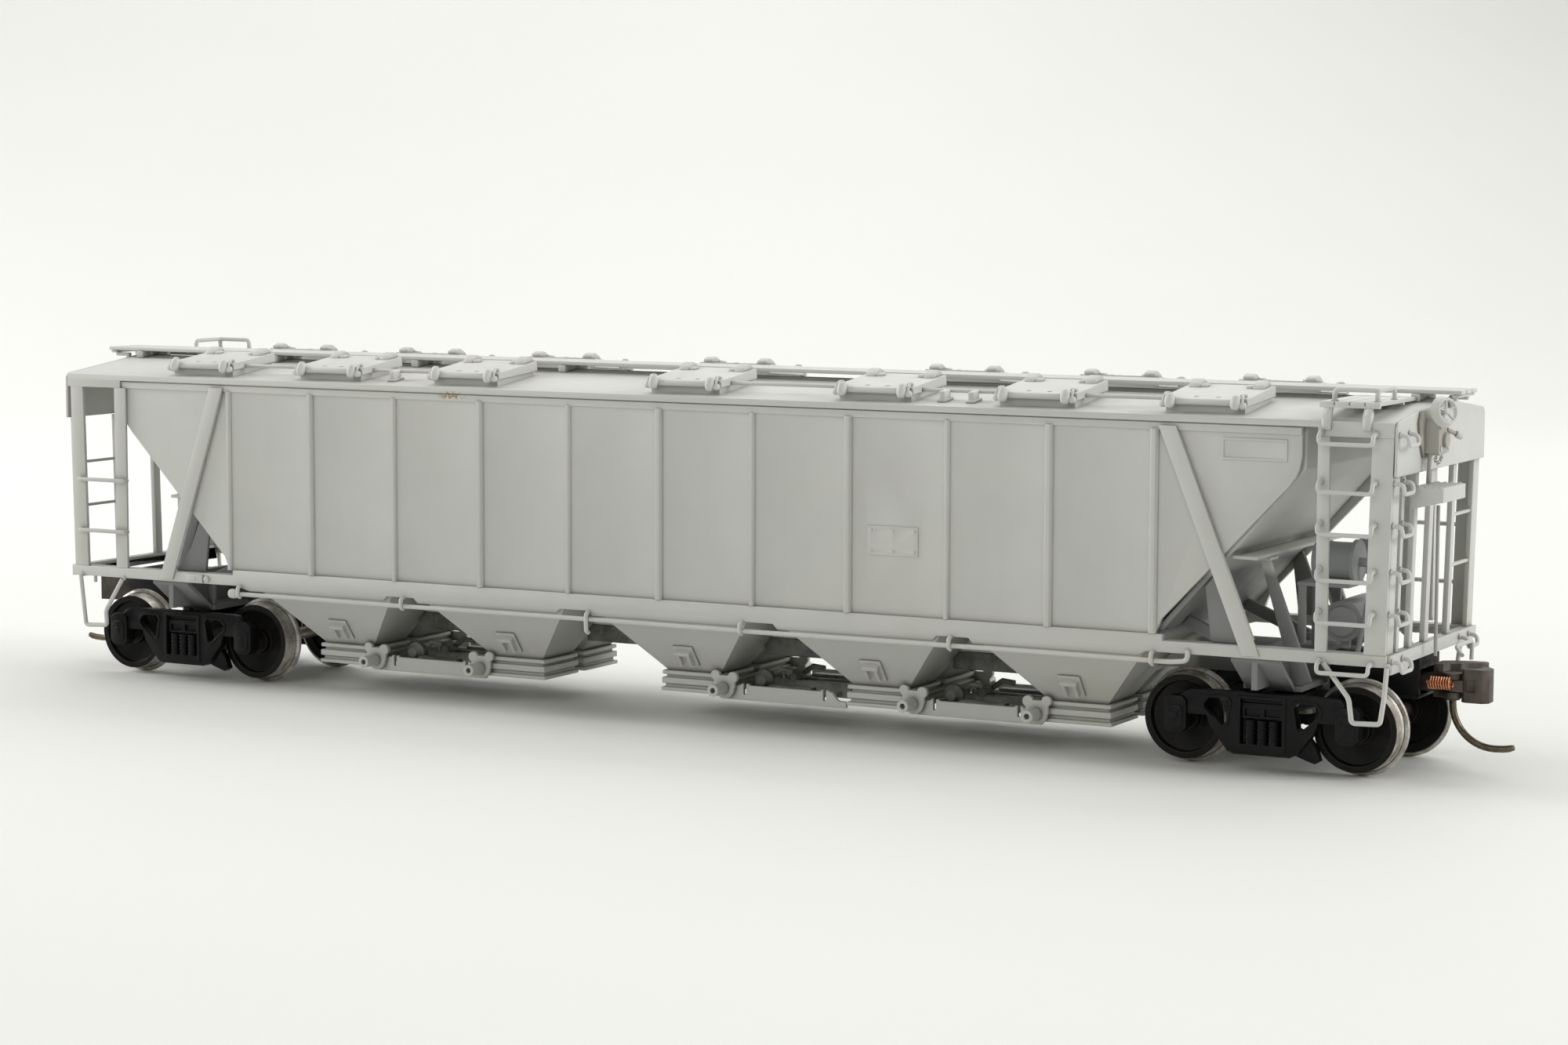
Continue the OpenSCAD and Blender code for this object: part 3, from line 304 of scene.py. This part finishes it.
PAINT = (0.6, 0.607, 0.572)
WARM = (0.61, 0.575, 0.47)
MATERIALS = {
    "body_paint": make_paint("body_paint", PAINT, WARM),
    # Painted light: the roof paint is 2% lighter than the body paint.
    "roof_paint": make_paint("roof_paint", grade(PAINT, 1.02), WARM, 0.5, 0.4),
    # Painted shade: 2% darker than the body paint, with the shade of under_shade.
    "shaded_paint": make_paint("shaded_paint", grade(PAINT, 0.98), WARM, 0.48, 0.6, under_shade),
    # Painted shade on the working parts under the car, through inner_shade.
    "gear_paint": make_paint("gear_paint", PAINT, WARM, 0.5, 0.8, inner_shade),
    "housing_paint": make_paint("housing_paint", (0.4, 0.39, 0.35), (0.4, 0.33, 0.22), 0.45, 0.9),
    "tank_paint": make_paint("tank_paint", (0.27, 0.28, 0.28), WARM, 0.4, 0.9),
    "truck_plastic": make_black_plastic("truck_plastic", (0.0058, 0.0058, 0.006), 0.33),
    "pocket_plastic": make_black_plastic("pocket_plastic", (0.006, 0.006, 0.006), 0.45),
    "wheel_metal": make_wheel("wheel_metal"),
    "axle_steel": make_metal("axle_steel", (0.3, 0.28, 0.25), (0.18, 0.15, 0.12), 0.38),
    "coupler_metal": make_metal("coupler_metal", (0.075, 0.065, 0.055), (0.14, 0.12, 0.1), 0.52,
                                0.8, 4.0, 0.06),
    "pin_steel": make_metal("pin_steel", (0.19, 0.16, 0.12), (0.09, 0.07, 0.05), 0.34),
    "spring_bronze": make_metal("spring_bronze", (0.75, 0.36, 0.2), (0.5, 0.2, 0.1), 0.3),
}


def dress(piece, slot):
    piece.data.materials.clear()
    piece.data.materials.append(MATERIALS[slot])


def refinish(piece, paint):
    """Another finish on a piece, which keeps its slot in the record."""
    piece.data.materials[0] = MATERIALS[paint]


SLOT_OF = {entry["node"]: entry["material_slot"] for entry in frame["record"]["subparts"]}
for node, slot in SLOT_OF.items():
    dress(frame["nodes"][node], slot)


# ---------------------------------------------------------------- mesh tools

POINT_RADIUS = 1e-7     # metres: a turned solid's tip, where its ring would fall into one point


def at(x, y, z):
    """A point given in millimetres."""
    return Vector((x, y, z)) * MM


def make_piece(name, bm, body, slot, nodes, smooth):
    """Turns a mesh into a piece that rides on body and stands for nodes; smooth is in degrees."""
    bmesh.ops.recalc_face_normals(bm, faces=bm.faces)
    mesh = bpy.data.meshes.new(name)
    bm.to_mesh(mesh)
    bm.free()
    for face in mesh.polygons:
        face.use_smooth = True
    mesh.set_sharp_from_angle(angle=math.radians(smooth))
    piece = bpy.data.objects.new(name, mesh)
    bpy.context.scene.collection.objects.link(piece)
    dress(piece, slot)
    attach(piece, body)
    if nodes:
        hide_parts(*nodes)
    return piece


def body_of(node):
    return frame["nodes"][node]["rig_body"]


def round_over(bm, edges, width):
    """Rounds edges over; width is in millimetres."""
    bmesh.ops.bevel(bm, geom=edges, offset=width * MM, segments=2, profile=0.5, affect="EDGES",
                    clamp_overlap=True)


def soft_copy(node, width):
    """The CAD node's solid with its sharp edges rounded over, standing for the node."""
    source = frame["nodes"][node]
    bm = bmesh.new()
    bm.from_mesh(source.data)
    bmesh.ops.remove_doubles(bm, verts=bm.verts, dist=0.0005 * MM)
    bmesh.ops.dissolve_limit(bm, angle_limit=math.radians(0.6), verts=bm.verts, edges=bm.edges)
    sharp = [e for e in bm.edges if len(e.link_faces) == 2
             and e.calc_face_angle(0) > math.radians(38)]
    round_over(bm, sharp, width)
    return make_piece(node + ".soft", bm, body_of(node), SLOT_OF[node], (node,), 40)


def rounded(points, bend, steps=5):
    """The path with its corners rounded off, bend millimetres before and after each."""
    path = [points[0]]
    for before, corner, after in zip(points, points[1:], points[2:]):
        back, ahead = before - corner, after - corner
        cut = min(bend * MM, 0.48 * back.length, 0.48 * ahead.length)
        start, stop = corner + back.normalized() * cut, corner + ahead.normalized() * cut
        for i in range(steps + 1):
            t = i / steps
            path.append((1 - t) ** 2 * start + 2 * t * (1 - t) * corner + t * t * stop)
    path.append(points[-1])
    return path


def across(axis):
    """Two directions square to a unit axis and to each other."""
    helper = Vector((0, 0, 1)) if abs(axis.z) < 0.9 else Vector((1, 0, 0))
    side = axis.cross(helper).normalized()
    return side, axis.cross(side)


def join_rings(bm, rings):
    """Bands of faces from each ring of points to the next."""
    for one, two in zip(rings, rings[1:]):
        count = len(one)
        for k in range(count):
            bm.faces.new((one[k], one[(k + 1) % count], two[(k + 1) % count], two[k]))


def sweep(bm, path, radius, sides, taper=None):
    """A closed tube along a path, radius in millimetres. taper scales each ring."""
    rings = []
    side = across((path[1] - path[0]).normalized())[0]
    for i, point in enumerate(path):
        a = path[max(i - 1, 0)]
        b = path[min(i + 1, len(path) - 1)]
        ahead = (b - a).normalized()
        side = (side - ahead * side.dot(ahead)).normalized()
        over = ahead.cross(side)
        size = radius * MM * (taper[i] if taper else 1.0)
        ring = []
        for k in range(sides):
            turn = 2 * math.pi * k / sides
            ring.append(bm.verts.new(point + side * math.cos(turn) * size
                                     + over * math.sin(turn) * size))
        rings.append(ring)
    join_rings(bm, rings)
    bm.faces.new(rings[0])
    bm.faces.new(rings[-1])


def lathe(bm, profile, place, axis, sides):
    """A closed solid turned about axis through place; profile is (radius, along) in millimetres."""
    axis = axis.normalized()
    side, over = across(axis)
    rings = []
    for radius, along in profile:
        rings.append([bm.verts.new(place + axis * (along * MM)
                                   + (side * math.cos(2 * math.pi * k / sides)
                                      + over * math.sin(2 * math.pi * k / sides))
                                   * max(radius * MM, POINT_RADIUS)) for k in range(sides)])
    join_rings(bm, rings)
    bm.faces.new(rings[0])
    bm.faces.new(rings[-1])


def box(bm, low, high, width):
    """A block between two corners in millimetres, with its edges rounded over."""
    low, high = Vector(low), Vector(high)
    made = bmesh.ops.create_cube(bm, size=1.0)["verts"]
    middle, span = (low + high) / 2, high - low
    for v in made:
        v.co = Vector([v.co[i] * span[i] + middle[i] for i in range(3)]) * MM
    round_over(bm, list(dict.fromkeys(e for v in made for e in v.link_edges)), width)


# Most fittings stand twice: as given, and turned half a turn about the upright axis.
HALF_TURNS = (Matrix.Identity(3), Matrix.Rotation(math.pi, 3, "Z"))
UP = Vector((0, 0, 1))
ALONG = Vector((1, 0, 0))
OUT_NEAR = Vector((0, -1, 0))   # out of the near side


# ---------------------------------------------------------------- wire work

WIRE = 0.24             # radius of the finest wire
ROD = 0.28              # radius of the train pipe, the stirrups and the roof irons
STAPLE = 0.26           # radius of the staples and the pipe hangers
RUNGS = (17.9, 22.5, 27.5, 32.05, 37.25)
DROP = 1.13             # how far a rung hangs below its two feet
SIDE_Y = -15.55         # near face of the posts and the sill


def drop_iron(bm, place, width, turn, half):
    """A bent iron at place in millimetres: out from the post, down, across and back."""
    spin = half @ Matrix.Rotation(math.radians(turn), 3, "Z")
    home = Vector(place)
    points = [(-width / 2, 0.25, 0), (-width / 2, -1.0, -0.1), (-width / 2, -1.12, -DROP),
              (width / 2, -1.12, -DROP), (width / 2, -1.0, -0.1), (width / 2, 0.25, 0)]
    path = [spin @ Vector(p) + half @ home for p in points]
    sweep(bm, rounded([p * MM for p in path], 0.5), WIRE, 10)
    for s in (-1, 1):
        foot = spin @ Vector((s * width / 2, -0.06, 0)) + half @ home
        lathe(bm, [(0, 0), (0.34, 0), (0.34, 0.1), (0.22, 0.17), (0, 0.18)],
              foot * MM, spin @ OUT_NEAR, 12)


PLATE_X, PLATE_LOW = 90.35, 33.8        # face and lower edge of the end plate
POST_X, SILL_TOP, LEAN = 89.43, 14.6, 0.0235    # foot of the end posts, and their lean outward


def end_face(z):
    """X of the face that an iron on the end of the car is fixed to, in millimetres."""
    return PLATE_X if z > PLATE_LOW else POST_X + (z - SILL_TOP) * LEAN


def make_irons():
    bm = bmesh.new()
    for half in HALF_TURNS:
        for z in RUNGS:
            drop_iron(bm, (84.85, SIDE_Y, z + DROP), 6.1, 0, half)
            drop_iron(bm, (end_face(z + DROP), -13.5, z + DROP), 3.1, 90, half)
        drop_iron(bm, (84.9, SIDE_Y, 13.6), 5.8, 0, half)
        for z in (19.35, 26):
            path = [half @ at(*p) for p in ((-87.8, -15.3, z), (-87.8, -16.1, z), (-80.5, -16.1, z),
                                            (-80.5, -15.3, z))]
            sweep(bm, rounded(path, 0.3), STAPLE, 10)
        for y in (-13.2, 10.5):
            drop_iron(bm, (89.9, y, 13.95), 3.4, 90, half)
        path = [half @ at(*p) for p in ((82.6, -13.9, 41.7), (82.6, -13.9, 43), (87.5, -13.9, 43),
                                        (87.5, -8.6, 43), (87.5, -8.6, 41.7))]
        sweep(bm, rounded(path, 0.6), ROD, 10)
        sweep(bm, [half @ at(87.35, -13.8, 41.7), half @ at(87.45, -13.85, 42.95)], ROD, 10)
        for x, y in ((82.6, -13.9), (87.35, -13.8), (87.5, -8.6)):
            lathe(bm, [(0, 0), (0.42, 0), (0.42, 0.12), (0, 0.2)],
                  half @ at(x, y, 41.76), UP, 12)
    make_piece("grab_irons.wire", bm, "car_body", "body_paint", ("grab_irons",), 50)


def make_stirrups():
    bm = bmesh.new()
    y = -15.78              # middle of the strap
    for half in HALF_TURNS:
        for shape in (((82.5, 13.45), (83.4, 12.3), (85.45, 9.75), (85.8, 7.1), (89, 7.2), (89.4, 10),
                       (89.65, 13.35)),
                      ((-88, 13.4), (-87.25, 6.85), (-83.8, 7), (-83.95, 8.87), (-81.15, 13.2))):
            path = [half @ at(x, y, z) for x, z in shape]
            sweep(bm, rounded(path, 0.45), ROD, 12)
            for x, z in (shape[0], shape[-1]):
                lathe(bm, [(0, 0), (0.36, 0), (0.3, 0.16), (0, 0.2)],
                      half @ at(x, -15.5, z + 0.1), half @ OUT_NEAR, 12)
    make_piece("stirrups.strap", bm, "car_body", "body_paint", ("stirrups",), 50)


def make_levers():
    bm = bmesh.new()
    for half in HALF_TURNS:
        path = [half @ at(*p) for p in ((91.45, 8.6, 11.5), (91.5, 8.6, 13.7), (91.3, 3.2, 13.6),
                                        (92.6, 1.4, 12.9))]
        sweep(bm, rounded(path, 0.6), WIRE, 10)
    make_piece("uncoupling_levers.wire", bm, "car_body", "body_paint", ("uncoupling_levers",), 50)


def make_train_pipe():
    bm = bmesh.new()
    y = -15.79              # middle of the pipe
    path = [at(*p) for p in ((-63.4, y, 12.35), (-40, y, 12.3), (-12, y, 12.38), (14, y, 12.3),
                             (40, y, 12.38), (65, y, 12.35), (66.8, y, 12.6), (66.82, y, 13.8))]
    sweep(bm, rounded(path, 1.1, 7), ROD, 14)
    lathe(bm, [(0, 0), (0.55, 0.1), (0.62, 0.5), (0.55, 1.1),
               (0.3, 1.5), (0, 1.5)], at(-63.9, y, 12.35), ALONG, 16)
    make_piece("train_pipe.run", bm, "car_body", "body_paint", ("train_pipe",), 50)
    bm = bmesh.new()
    for x in (-62.4, -37.4, 10.6, 37.8, 62.6):
        path = [at(x, -15.35, 13.35), at(x, -16.1, 13.2), at(x, -16.18, 12.2), at(x, -15.6, 11.92)]
        sweep(bm, rounded(path, 0.4), STAPLE, 10)
    path = [at(-10.5, -15.35, 13.3), at(-10.5, -16.15, 13.1), at(-10.5, -16.2, 12.2),
            at(-10.6, -15.95, 10.9), at(-10.45, -15.6, 10.7)]
    sweep(bm, rounded(path, 0.5), STAPLE, 10)
    box(bm, (-70.8, -15.9, 13.35), (-68.2, -15.4, 14.5), 0.1)
    box(bm, (-70.5, -15.98, 13.6), (-69.2, -15.7, 14.25), 0.1)
    lathe(bm, [(0, 0), (0.42, 0), (0.42, 0.3), (0.24, 0.45), (0, 0.48)],
          at(-67.7, -15.45, 13.9), OUT_NEAR, 16)
    make_piece("pipe_hangers.bent", bm, "car_body", "body_paint", ("pipe_hangers",), 45)


def make_trip_pins():
    """Round pins that hang from the couplers and curve outward in a quarter circle."""
    turn = 4.8              # radius of the curve
    for end, half in zip("ba", HALF_TURNS):
        bm = bmesh.new()
        path = [half @ at(91.8, 0.9, 7.93), half @ at(91.8, 0.9, 7.65)]
        path += [half @ at(91.8 + turn - turn * math.cos(a * math.pi / 28), 0.9,
                           7.6 - turn * math.sin(a * math.pi / 28)) for a in range(1, 15)]
        path += [half @ at(97.6, 0.9, 2.84), half @ at(98.3, 0.9, 2.94), half @ at(98.85, 0.9, 3.1)]
        size = [1.0] * (len(path) - 2) + [1.0, 0.8]
        sweep(bm, path, 0.4, 18, taper=size)
        make_piece("trip_pin_%s.wire" % end, bm, "coupler_" + end, "pin_steel", ("trip_pin_" + end,), 50)


def coil(bm, place, axis, radius, length, turns, wire, steps=18):
    """A helical spring standing on place, with its measures in millimetres."""
    axis = axis.normalized()
    side, over = across(axis)
    count = int(turns * steps)
    path = []
    for i in range(count + 1):
        a = 2 * math.pi * turns * i / count
        path.append(place + (axis * length * i / count
                             + (side * math.cos(a) + over * math.sin(a)) * radius) * MM)
    sweep(bm, path, wire, 7)


def make_knuckle_springs():
    wire = 0.12
    for end, half in zip("ba", HALF_TURNS):
        bm = bmesh.new()
        coil(bm, half @ at(90.45, -3.47, 10.35), half @ ALONG, 0.62, 2.5, 8.5, wire)
        sweep(bm, [half @ at(90.0, -3.3, 10.35), half @ at(90.5, -2.9, 10.4)], wire, 8)
        make_piece("knuckle_spring_%s.coil" % end, bm, "coupler_" + end, "spring_bronze",
                   ("knuckle_spring_" + end,), 60)


def turned_ring(bm, profile, place, axis, sides=48):
    """A hoop turned about axis: profile is a closed loop of (radius, along) in millimetres."""
    side, over = across(axis)
    rings = [[bm.verts.new(place + (axis * along + (side * math.cos(2 * math.pi * k / sides)
              + over * math.sin(2 * math.pi * k / sides)) * radius) * MM) for k in range(sides)]
             for radius, along in profile]
    join_rings(bm, rings + rings[:1])


def make_brake_wheel():
    bm = bmesh.new()
    centre = at(92.95, -7.5, 40.6)
    axis = Vector((0.847, -0.489, 0.208)).normalized()
    turned_ring(bm, [(1.12, 0.3), (1.2, 0.42), (1.34, 0.42), (1.45, 0.3), (1.62, -0.2), (1.74, -0.48),
                     (1.66, -0.58), (1.5, -0.5), (1.3, 0.1)], centre, axis)
    lathe(bm, [(0, -0.6), (0.42, -0.6), (0.45, 0.1), (0.36, 0.3),
               (0.16, 0.36), (0, 0.36)], centre, axis, 20)
    side = axis.cross(UP).normalized()
    over = side.cross(axis)
    spokes = 5
    for k in range(spokes):
        a = math.radians(90 + 360 / spokes * k)
        out = side * math.cos(a) + over * math.sin(a)
        path = [centre + (out * 0.3 + axis * 0.1) * MM, centre + (out * 0.8 + axis * 0.12) * MM,
                centre + (out * 1.3 + axis * 0.32) * MM]
        sweep(bm, rounded(path, 0.4), 0.14, 10)
    make_piece("brake_wheel.spoked", bm, "car_body", "body_paint", ("brake_wheel",), 50)


def make_brake_details():
    """Chain under the gear housing, its bolt heads and the pawl beside it."""
    bm = bmesh.new()
    links = 5
    for k in range(links):
        sag = 0.75 * math.sin(math.pi * (k + 0.5) / links)
        middle = at(91.5 + 0.05 * k, -6.2 + 0.34 * k, 35.55 - sag)
        width = ALONG if k % 2 else Vector((0.3, 0, 0.95))
        path = [middle + (Vector((0, 1, 0)) * math.cos(a * math.pi / 6) * 0.36
                          + width * math.sin(a * math.pi / 6) * 0.24) * MM for a in range(13)]
        sweep(bm, path, 0.09, 8)
    for y, z in ((-4.2, 38.6), (-6.7, 38.9), (-6.7, 36.4), (-4.2, 36.5), (-5.4, 39.3)):
        lathe(bm, [(0.26, 0), (0.26, 0.14), (0.12, 0.2), (0, 0.2)],
              at(92.15, y, z), ALONG, 10)
    lathe(bm, [(0.3, 0), (0.42, 0.2), (0.42, 0.9), (0.3, 1.1)],
          at(92.75, -3.2, 37.9), Vector((0.35, 0.9, -0.35)), 14)
    make_piece("brake_gear.details", bm, "car_body", "body_paint", (), 45)


# ---------------------------------------------------------------- castings and roof fittings

# How far the sharp edges of each CAD node are rounded over, in millimetres.
SOFT_EDGES = {
    0.08: ("side_wall_right", "side_wall_left", "running_board", "lateral_boards", "brake_platform",
           "hatch_rods"),
    0.1: ("corner_posts", "diagonal_posts", "end_posts", "gate_rails", "body_bolsters", "centre_sill",
          "end_framing", "slope_sheets", "board_saddles", "end_sills", "side_sills"),
    0.13: ("outlet_frames", "outlet_gates", "shaft_brackets", "bay_brackets", "roof", "end_plates",
           "gate_shafts", "control_valve", "truck_bolster_a", "truck_bolster_b", "draft_lids"),
    0.18: ("hopper_bays", "hatch_covers", "brake_cylinder", "brake_gear_box", "truck_sides_a",
           "truck_sides_b", "draft_boxes", "coupler_a", "coupler_b", "knuckle_a", "knuckle_b",
           "air_reservoir"),
}


def stamp(bm, template, matrix):
    """Adds a placed copy of a ready-made mesh."""
    copy = template.copy()
    copy.transform(matrix)
    bm.from_mesh(copy)
    bpy.data.meshes.remove(copy)


def as_template(bm, name):
    mesh = bpy.data.meshes.new(name)
    bm.to_mesh(mesh)
    bm.free()
    return mesh


def prism(bm, outline, x0, x1, width):
    """A solid with a Y-Z outline, in millimetres, between two X values, with rounded edges."""
    rows = [[bm.verts.new(at(x, y, z)) for y, z in outline] for x in (x0, x1)]
    faces = [bm.faces.new(rows[0]), bm.faces.new(rows[1])]
    count = len(outline)
    for k in range(count):
        faces.append(bm.faces.new((rows[0][k], rows[0][(k + 1) % count], rows[1][(k + 1) % count],
                                   rows[1][k])))
    bmesh.ops.recalc_face_normals(bm, faces=faces)
    round_over(bm, list(dict.fromkeys(e for f in faces for e in f.edges)), width)


def knob(bm, place, axis, radius, length, sides=20):
    """A rounded plug like an egg, centred on place."""
    steps = 8
    profile = []
    for i in range(steps + 1):
        a = math.pi * (i / steps - 0.5)
        bulge = max(math.cos(a), 0.02) ** 0.75      # fuller than a circle, blunt at the tips
        profile.append((radius * bulge, length / 2 * math.sin(a)))
    lathe(bm, profile, place, axis, sides)


RIDGE_Z, EAVE_Z, HALF_WIDTH = 41.5, 39.66, 15.5     # the gable of the roof
HATCH_X = (-69.3, -49.5, -29.3, 1.8, 27, 47.4, 67.6)
HATCH_Y = 9.4           # middle of a row of hatches, from the ridge


def make_hatch_fittings():
    """Latches, hinges and bolt heads of the fourteen hatch covers."""
    roof_angle = math.atan((RIDGE_Z - EAVE_Z) / HALF_WIDTH)
    seat = RIDGE_Z - HATCH_Y * math.tan(roof_angle)
    local = bmesh.new()
    for s in (-1, 1):
        knob(local, at(s * 3.85, -4.95, 1.38), Vector((0, 0.5, 1)), 0.62, 1.75)
        knob(local, at(s * 4.65, -4.9, 1.05), ALONG, 0.42, 0.9)
        path = [at(s * 4.62, -5.1, 0.95), at(s * 4.62, -4.75, 1.8), at(s * 4.45, -4.0, 2.0)]
        sweep(local, rounded(path, 0.3), 0.17, 10)
        knob(local, at(s * 4.45, -3.85, 1.98), ALONG, 0.24, 0.95, 14)
        x0, x1 = sorted((s * 3.1, s * 4.5))
        prism(local, [(2.1, 1.64), (4.65, 1.64), (4.65, 2.0), (3.7, 2.42), (2.5, 2.05)], x0, x1, 0.16)
        x0, x1 = sorted((s * 2.3, s * 3.15))
        prism(local, [(2.3, 1.64), (3.5, 1.64), (3.3, 1.95), (2.5, 1.95)], x0, x1, 0.1)
    for x in (-1.3, 1.3):
        lathe(local, [(0.3, 0), (0.3, 0.08), (0.1, 0.16)], at(x, -3.4, 1.62), UP, 12)
    template = as_template(local, "hatch_fittings.template")
    bm = bmesh.new()
    for half in HALF_TURNS:
        for x in HATCH_X:
            place = Matrix.Translation(at(x, -HATCH_Y, seat)) @ Matrix.Rotation(roof_angle, 4, "X")
            stamp(bm, template, half.to_4x4() @ place)
    bpy.data.meshes.remove(template)
    make_piece("hatch_fittings.cast", bm, "car_body", "roof_paint", ("hatch_fittings",), 45)


GAPS = (-37.95, -12.65, 12.65, 37.95)   # middles of the gaps between the hopper bays
BARE_GAP = -12.65                       # the gap with no gate linkage
WEB = ((1.62, 9.75), (2.2, 9.75), (2.2, 7.75), (1.95, 7.6), (1.62, 7.6))    # Y-Z outline
CRANK_Z = 5.0


def make_sill_webs():
    """Deep webs of the centre sill between the hopper bays, with the gate linkage under them."""
    bm = bmesh.new()
    for middle in GAPS:
        for s in (-1, 1):
            prism(bm, [(s * y, z) for y, z in WEB], middle - 6.2, middle + 6.2, 0.06)
        if middle == BARE_GAP:
            continue
        for x, y, r in ((middle - 4.6, -4.6, 1.25), (middle - 2.6, -0.2, 0.95),
                        (middle + 3.2, 5.6, 1.2)):
            lathe(bm, [(r * 0.35, 0), (r * 0.9, 0), (r, 0.15), (r, 0.75), (r * 0.7, 0.95),
                       (r * 0.5, 1.5)], at(x, y, CRANK_Z), OUT_NEAR, 18)
            arm = [at(x, y + 0.4, CRANK_Z), at(x + 1.9, y + 0.3, 6.3), at(x + 3.4, y + 0.4, 6.1)]
            sweep(bm, arm, 0.34, 10)
        for y in (-5.9, 5.2):
            box(bm, (middle - 5.6, y - 0.7, 3.7), (middle + 5.9, y + 0.9, 4.35), 0.08)
            box(bm, (middle - 3.1, y - 1.1, 4.35), (middle + 2.7, y + 0.3, 4.7), 0.08)
    # The webs take gear_paint, with its painted shade.
    refinish(make_piece("centre_sill.webs", bm, "car_body", "shaded_paint", (), 45), "gear_paint")


def make_walkway_lugs():
    """Rounded ends of the brackets under the crosswise walkways."""
    bm = bmesh.new()
    for half in HALF_TURNS:
        for x in (82.3, 86.9):
            knob(bm, half @ at(x, -15.42, 40.0), half @ Vector((0.12, 0.3, 1)), 0.56, 2.4)
    make_piece("walkway_lugs.cast", bm, "car_body", "roof_paint", (), 45)


TRUCK_X = 74.25


def make_truck_springs():
    """Three coil springs in each side frame."""
    for end, x in (("a", -TRUCK_X), ("b", TRUCK_X)):
        bm = bmesh.new()
        for half in HALF_TURNS:
            for step in (-1.35, 0, 1.35):
                place = half @ at(step, -11.95, 3.35) + at(x, 0, 0)
                coil(bm, place, UP, 0.54, 2.6, 5.5, 0.13, 14)
        make_piece("truck_springs_%s.coil" % end, bm, "truck_" + end, "truck_plastic", (), 60)


make_irons()
make_stirrups()
make_levers()
make_train_pipe()
make_trip_pins()
make_knuckle_springs()
make_brake_wheel()
make_brake_details()
make_hatch_fittings()
make_walkway_lugs()
make_truck_springs()
make_sill_webs()
# Nodes that look darker than the plain paint of their slot in the record; gear_paint puts painted shade on
# the inner ones.
OTHER_FINISH = {"gate_rails": "gear_paint", "gate_shafts": "gear_paint", "shaft_brackets": "gear_paint",
                "brake_cylinder": "tank_paint", "air_reservoir": "tank_paint", "control_valve": "tank_paint",
                "brake_gear_box": "housing_paint"}
for width, nodes in SOFT_EDGES.items():
    for node in nodes:
        piece = soft_copy(node, width)
        if node in OTHER_FINISH:
            refinish(piece, OTHER_FINISH[node])


# ---------------------------------------------------------------- floor, light, camera

def make_floor():
    """A pale sweep: flat under the car, rising in a wide curve behind it."""
    front, back, bend, height, half_width = -1.2, 0.55, 0.5, 2.2, 2.2      # metres
    steps = 16
    mesh = bpy.data.meshes.new("sweep")
    turn = Matrix.Rotation(math.radians(28), 3, "Z")
    profile = [(front, 0.0), (back, 0.0)]
    profile += [(back + bend * math.sin(a * math.pi / 2 / steps),
                 bend - bend * math.cos(a * math.pi / 2 / steps)) for a in range(1, steps + 1)]
    profile.append((back + bend, height))
    points = [turn @ Vector((x, y, z)) for x in (-half_width, half_width) for y, z in profile]
    count = len(profile)
    faces = [(i, i + 1, count + i + 1, count + i) for i in range(count - 1)]
    mesh.from_pydata([p + Vector((0, 0, cad_low[2])) for p in points], [], faces)
    for face in mesh.polygons:
        face.use_smooth = True
    piece = bpy.data.objects.new("sweep", mesh)
    bpy.context.scene.collection.objects.link(piece)
    n = Nodes("sweep_paper")
    cloud = n.ramp(n.noise(0.004, 3.0), 0.3, 0.7)
    color = n.mix(cloud, (0.81, 0.812, 0.782), (0.83, 0.832, 0.802))
    n.bump(n.noise(0.9, 3.0), 0.05, 0.02)
    mesh.materials.append(n.finish(color, 0.62, specular=0.25))


def make_light(name, place, aim, size, power):
    lamp = bpy.data.lights.new(name, "AREA")
    lamp.shape = "RECTANGLE"
    lamp.size, lamp.size_y = size
    lamp.energy = power
    piece = bpy.data.objects.new(name, lamp)
    piece.location = place
    piece.rotation_euler = (Vector(aim) - Vector(place)).to_track_quat("-Z", "Y").to_euler()
    bpy.context.scene.collection.objects.link(piece)


CAMERA_ANGLES = (28.187, 5.686, 0.177)      # turn, tilt and roll in degrees
CAMERA_PLACE = (0.210025, -0.377271, 0.066253)
LENS_MM, SENSOR_MM = 81.17, 36


def make_camera():
    turn, tilt, roll = (math.radians(v) for v in CAMERA_ANGLES)
    back = Vector((math.sin(turn) * math.cos(tilt), -math.cos(turn) * math.cos(tilt), math.sin(tilt)))
    right = Vector((math.cos(turn), math.sin(turn), 0))
    up = back.cross(right)
    sideways = math.cos(roll) * right + math.sin(roll) * up
    above = math.cos(roll) * up - math.sin(roll) * right
    lens = bpy.data.cameras.new("camera")
    lens.sensor_width = SENSOR_MM
    lens.lens = LENS_MM
    lens.clip_start = 0.01
    piece = bpy.data.objects.new("camera", lens)
    bpy.context.scene.collection.objects.link(piece)
    rows = [(sideways[i], above[i], back[i]) for i in range(3)]
    piece.matrix_world = Matrix.Translation(CAMERA_PLACE) @ Matrix(rows).to_4x4()
    bpy.context.scene.camera = piece


make_floor()
CAR_MIDDLE = (0, 0, 0.02)
make_light("overhead", (0.0, 0.1, 0.8), CAR_MIDDLE, (1.2, 0.8), 1.9)
make_light("behind", (0.05, 0.65, 0.6), CAR_MIDDLE, (1.2, 0.6), 3.4)
make_light("end", (0.9, 0.15, 0.4), (0.05, 0, 0.02), (0.5, 0.5), 4.6)
make_light("front", (-0.1, -0.9, 0.5), CAR_MIDDLE, (0.9, 0.5), 2.15)
make_light("left", (-0.9, -0.1, 0.45), CAR_MIDDLE, (0.5, 0.5), 6.5)
world = bpy.data.worlds.new("studio")
world.use_nodes = True
background = world.node_tree.nodes["Background"]
background.inputs["Color"].default_value = (1.0, 0.98, 0.93, 1)
background.inputs["Strength"].default_value = 0.18
bpy.context.scene.world = world
bpy.context.scene.view_settings.view_transform = "Standard"
make_camera()
